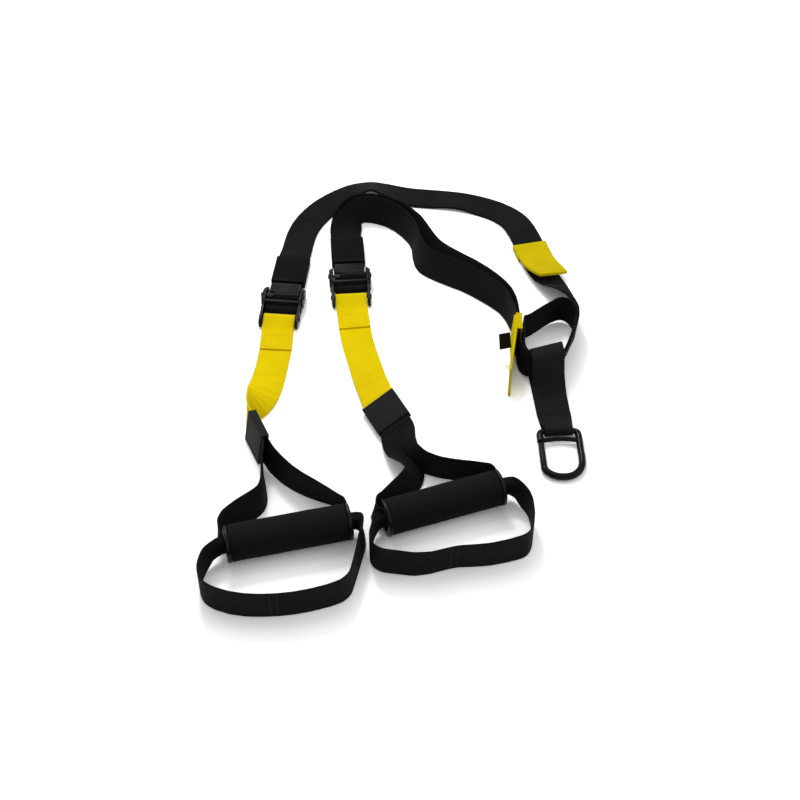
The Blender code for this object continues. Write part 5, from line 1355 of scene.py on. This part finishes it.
for seed, side in enumerate(SIDES):
    place = GRIP[side]
    grip = "grip_" + side
    half = GRIP_LENGTH / 2
    inside, outside = BORE_RADIUS, BORE_RADIUS + CORE_WALL
    chamfer = 0.3 * MM
    tube = [
        (-half, inside + chamfer),
        (-half + chamfer, inside),
        (half - chamfer, inside),
        (half, inside + chamfer),
        (half, outside - chamfer),
        (half - chamfer, outside),
        (-half + chamfer, outside),
        (-half, outside - chamfer),
    ]
    node = "grip_core_" + side
    finish(set_in(spun(tube, 72), place), node + "_tube", BLACK_ABS, grip, "black_plastic", node)
    node = "grip_foam_" + side
    foam = set_in(foam_sleeve(7.0 * seed), place)
    finish(foam, node + "_sleeve", FOAM, grip, "black_foam", node, smooth=60)
    names = ("outer", "inner") if side == "left" else ("inner", "outer")
    seat = outside + SEAT_GAP
    for end, name in zip((-1, 1), names):
        near, far = half - FLANGE_THICKNESS, half
        ring = [
            (near, seat),
            (near, FLANGE_RADIUS - 0.9 * MM),
            (near + 0.3 * MM, FLANGE_RADIUS - 0.3 * MM),
            (near + 0.9 * MM, FLANGE_RADIUS),
            (far - 1.4 * MM, FLANGE_RADIUS),
            (far - 0.5 * MM, FLANGE_RADIUS - 0.35 * MM),
            (far, FLANGE_RADIUS - 1.3 * MM),
            (far, seat + 1.2 * MM),
            (far - 0.5 * MM, seat + 0.5 * MM),
            (far - 0.6 * MM, seat),
        ]
        made = set_in(spun([(end * x, r) for x, r in ring], 96), place)
        node = "grip_flange_" + name + "_" + side
        finish(made, node + "_ring", BLACK_ABS, grip, "black_plastic", node)


# The carabiner.


# The bow's outline from the gate's side to the nose, in millimetres.
CARABINER_BOW = [(28.0, 21.2), (44.0, 21.0), (51.5, 19.6), (58.0, 16.0), (63.0, 10.5)]
CARABINER_BOW += [(65.5, 4.0), (65.8, -3.0), (64.5, -9.5), (61.5, -15.0), (57.0, -19.3)]
CARABINER_BOW += [(54.5, -20.6), (52.0, -21.2)]


def bent_rod(points, radii):
    """Round bar bent along a smooth line through points, with rounded ends."""
    select_only()
    bpy.ops.curve.primitive_bezier_curve_add(radius=1.0)
    made = bpy.context.active_object
    line = made.data
    line.splines.clear()
    spline = line.splines.new("BEZIER")
    spline.bezier_points.add(len(points) - 1)
    for knot, point, radius in zip(spline.bezier_points, points, radii):
        knot.co = point
        knot.handle_left_type = knot.handle_right_type = "AUTO"
        knot.radius = radius / MM
    line.dimensions = "3D"
    line.resolution_u = line.bevel_resolution = 6
    line.bevel_depth = 1 * MM
    line.use_fill_caps = True
    select_only(made)
    bpy.ops.object.convert(target="MESH")
    made = bpy.context.active_object
    edit_all()
    bpy.ops.mesh.remove_doubles(threshold=WELD_GAP)
    bpy.ops.mesh.normals_make_consistent(inside=False)
    end_edit()
    return made


def carabiner_line():
    """The rod's line from the gate hinge round the slot bar and the bow to the nose."""
    corner = CORNER_RADIUS
    line = [(u, -HALF_WIDTH, ROD_RADIUS) for u in (GATE_SPAN[0] - 5 * MM, corner + 3 * MM)]
    taper = SLOT_BAR_RADIUS - ROD_RADIUS
    turn = [(angle, ROD_RADIUS + taper * angle / 90) for angle in (0, 30, 60, 90)]
    for way, steps in ((-1, turn), (1, turn[::-1])):
        for angle, size in steps:
            bend = math.radians(angle)
            u = corner - corner * math.sin(bend)
            v = way * (HALF_WIDTH - corner + corner * math.cos(bend))
            line.append((u, v, size))
    line += [(u, v, ROD_RADIUS) for u, v in in_mm(CARABINER_BOW)]
    return [(u, v, 0.0) for u, v, size in line], [size for u, v, size in line]


def web_line():
    """The web's arch across the carabiner, under the slot."""
    arch = []
    for i in range(WEB_POINTS):
        share = i / (WEB_POINTS - 1)
        sag = 2.5 * MM * (1 - math.sin(math.pi * share))
        arch.append((11.5 * MM + sag, HALF_WIDTH * (2 * share - 1), 0.0))
    return arch


def tang_outline():
    """The tongue that the gate's pin goes through."""
    (hinge, _), side = GATE_SPAN, -HALF_WIDTH
    outline = [(hinge - TANG_BACK, side - TANG_RADIUS)]
    for i in range(TANG_STEPS + 1):
        angle = -math.pi / 2 + math.pi * i / TANG_STEPS
        u, v = TANG_RADIUS * math.cos(angle), TANG_RADIUS * math.sin(angle)
        outline.append((hinge + u, side + v))
    return outline + [(hinge - TANG_BACK, side + TANG_RADIUS)]


rod = bent_rod(*carabiner_line())
web = bent_rod(web_line(), [WEB_RADIUS] * WEB_POINTS)
tang = pressed(tang_outline(), -TANG_HALF_THICKNESS, TANG_HALF_THICKNESS)
for extra in (web, tang):
    combine(rod, extra)
set_in(rod, CARABINER)
node = "carabiner_body"
finish(rod, node + "_enamel", GLOSS_STEEL, "carabiner", "gloss_black_metal", node)

near, far = GATE_SPAN[0] - 2 * MM, GATE_SPAN[1]
right = [
    (far - 1 * MM, GATE_RADIUS),
    (far - 0.3 * MM, GATE_RADIUS - 0.3 * MM),
    (far, GATE_RADIUS - 1 * MM),
    (far, 0.0),
]
tube = spun(mirrored(right, (near + far) / 2), 40)
gate = set_in(tube, Matrix.Translation((0.0, -HALF_WIDTH, 0.0)))
outline = oblong(near - 4 * MM, near + 6 * MM, -HALF_WIDTH - 8 * MM, -HALF_WIDTH + 8 * MM)
slot = pressed(outline, -SLOT_HALF_THICKNESS, SLOT_HALF_THICKNESS, rounding=0.0)
combine(gate, slot, "DIFFERENCE")
steel(set_in(gate, CARABINER), "carabiner_gate", "gate")


# The floor and the light.


select_only()
bpy.ops.mesh.primitive_plane_add(size=8.0, location=(0.0, 0.0, -0.2 * MM))
floor = bpy.context.active_object
floor.name = "floor"
floor.data.materials.append(white_paper("white paper sweep"))

WORLD_LIGHT = 0.55
world = bpy.data.worlds.new("studio")
bpy.context.scene.world = world
world.use_nodes = True
sky = world.node_tree
sky.nodes.clear()
soft = add(sky, "Background", {"Color": colour("ffffff"), "Strength": WORLD_LIGHT})
seen = add(sky, "Background", {"Color": colour("ffffff"), "Strength": 1.0})
mixed = add(sky, "MixShader", {0: direct_ray(sky), 1: soft, 2: seen})
add(sky, "OutputWorld", {"Surface": mixed})

for name, place, size, watts in (
    ("overhead soft box", (-0.25, 0.5, 1.6), (1.2, 0.9), 6),
    ("side soft box", (1.3, -0.2, 1.1), (0.9, 0.9), 3),
    ("small hard lamp", (-0.35, 1.0, 1.5), (0.3, 0.3), 11),
):
    lamp = bpy.data.lights.new(name, "AREA")
    lamp.shape = "RECTANGLE"
    lamp.size, lamp.size_y = size
    lamp.energy = watts
    stand(lamp, name, place, (0.0, 0.0, 0.0))

bpy.context.scene.view_settings.view_transform = "Standard"
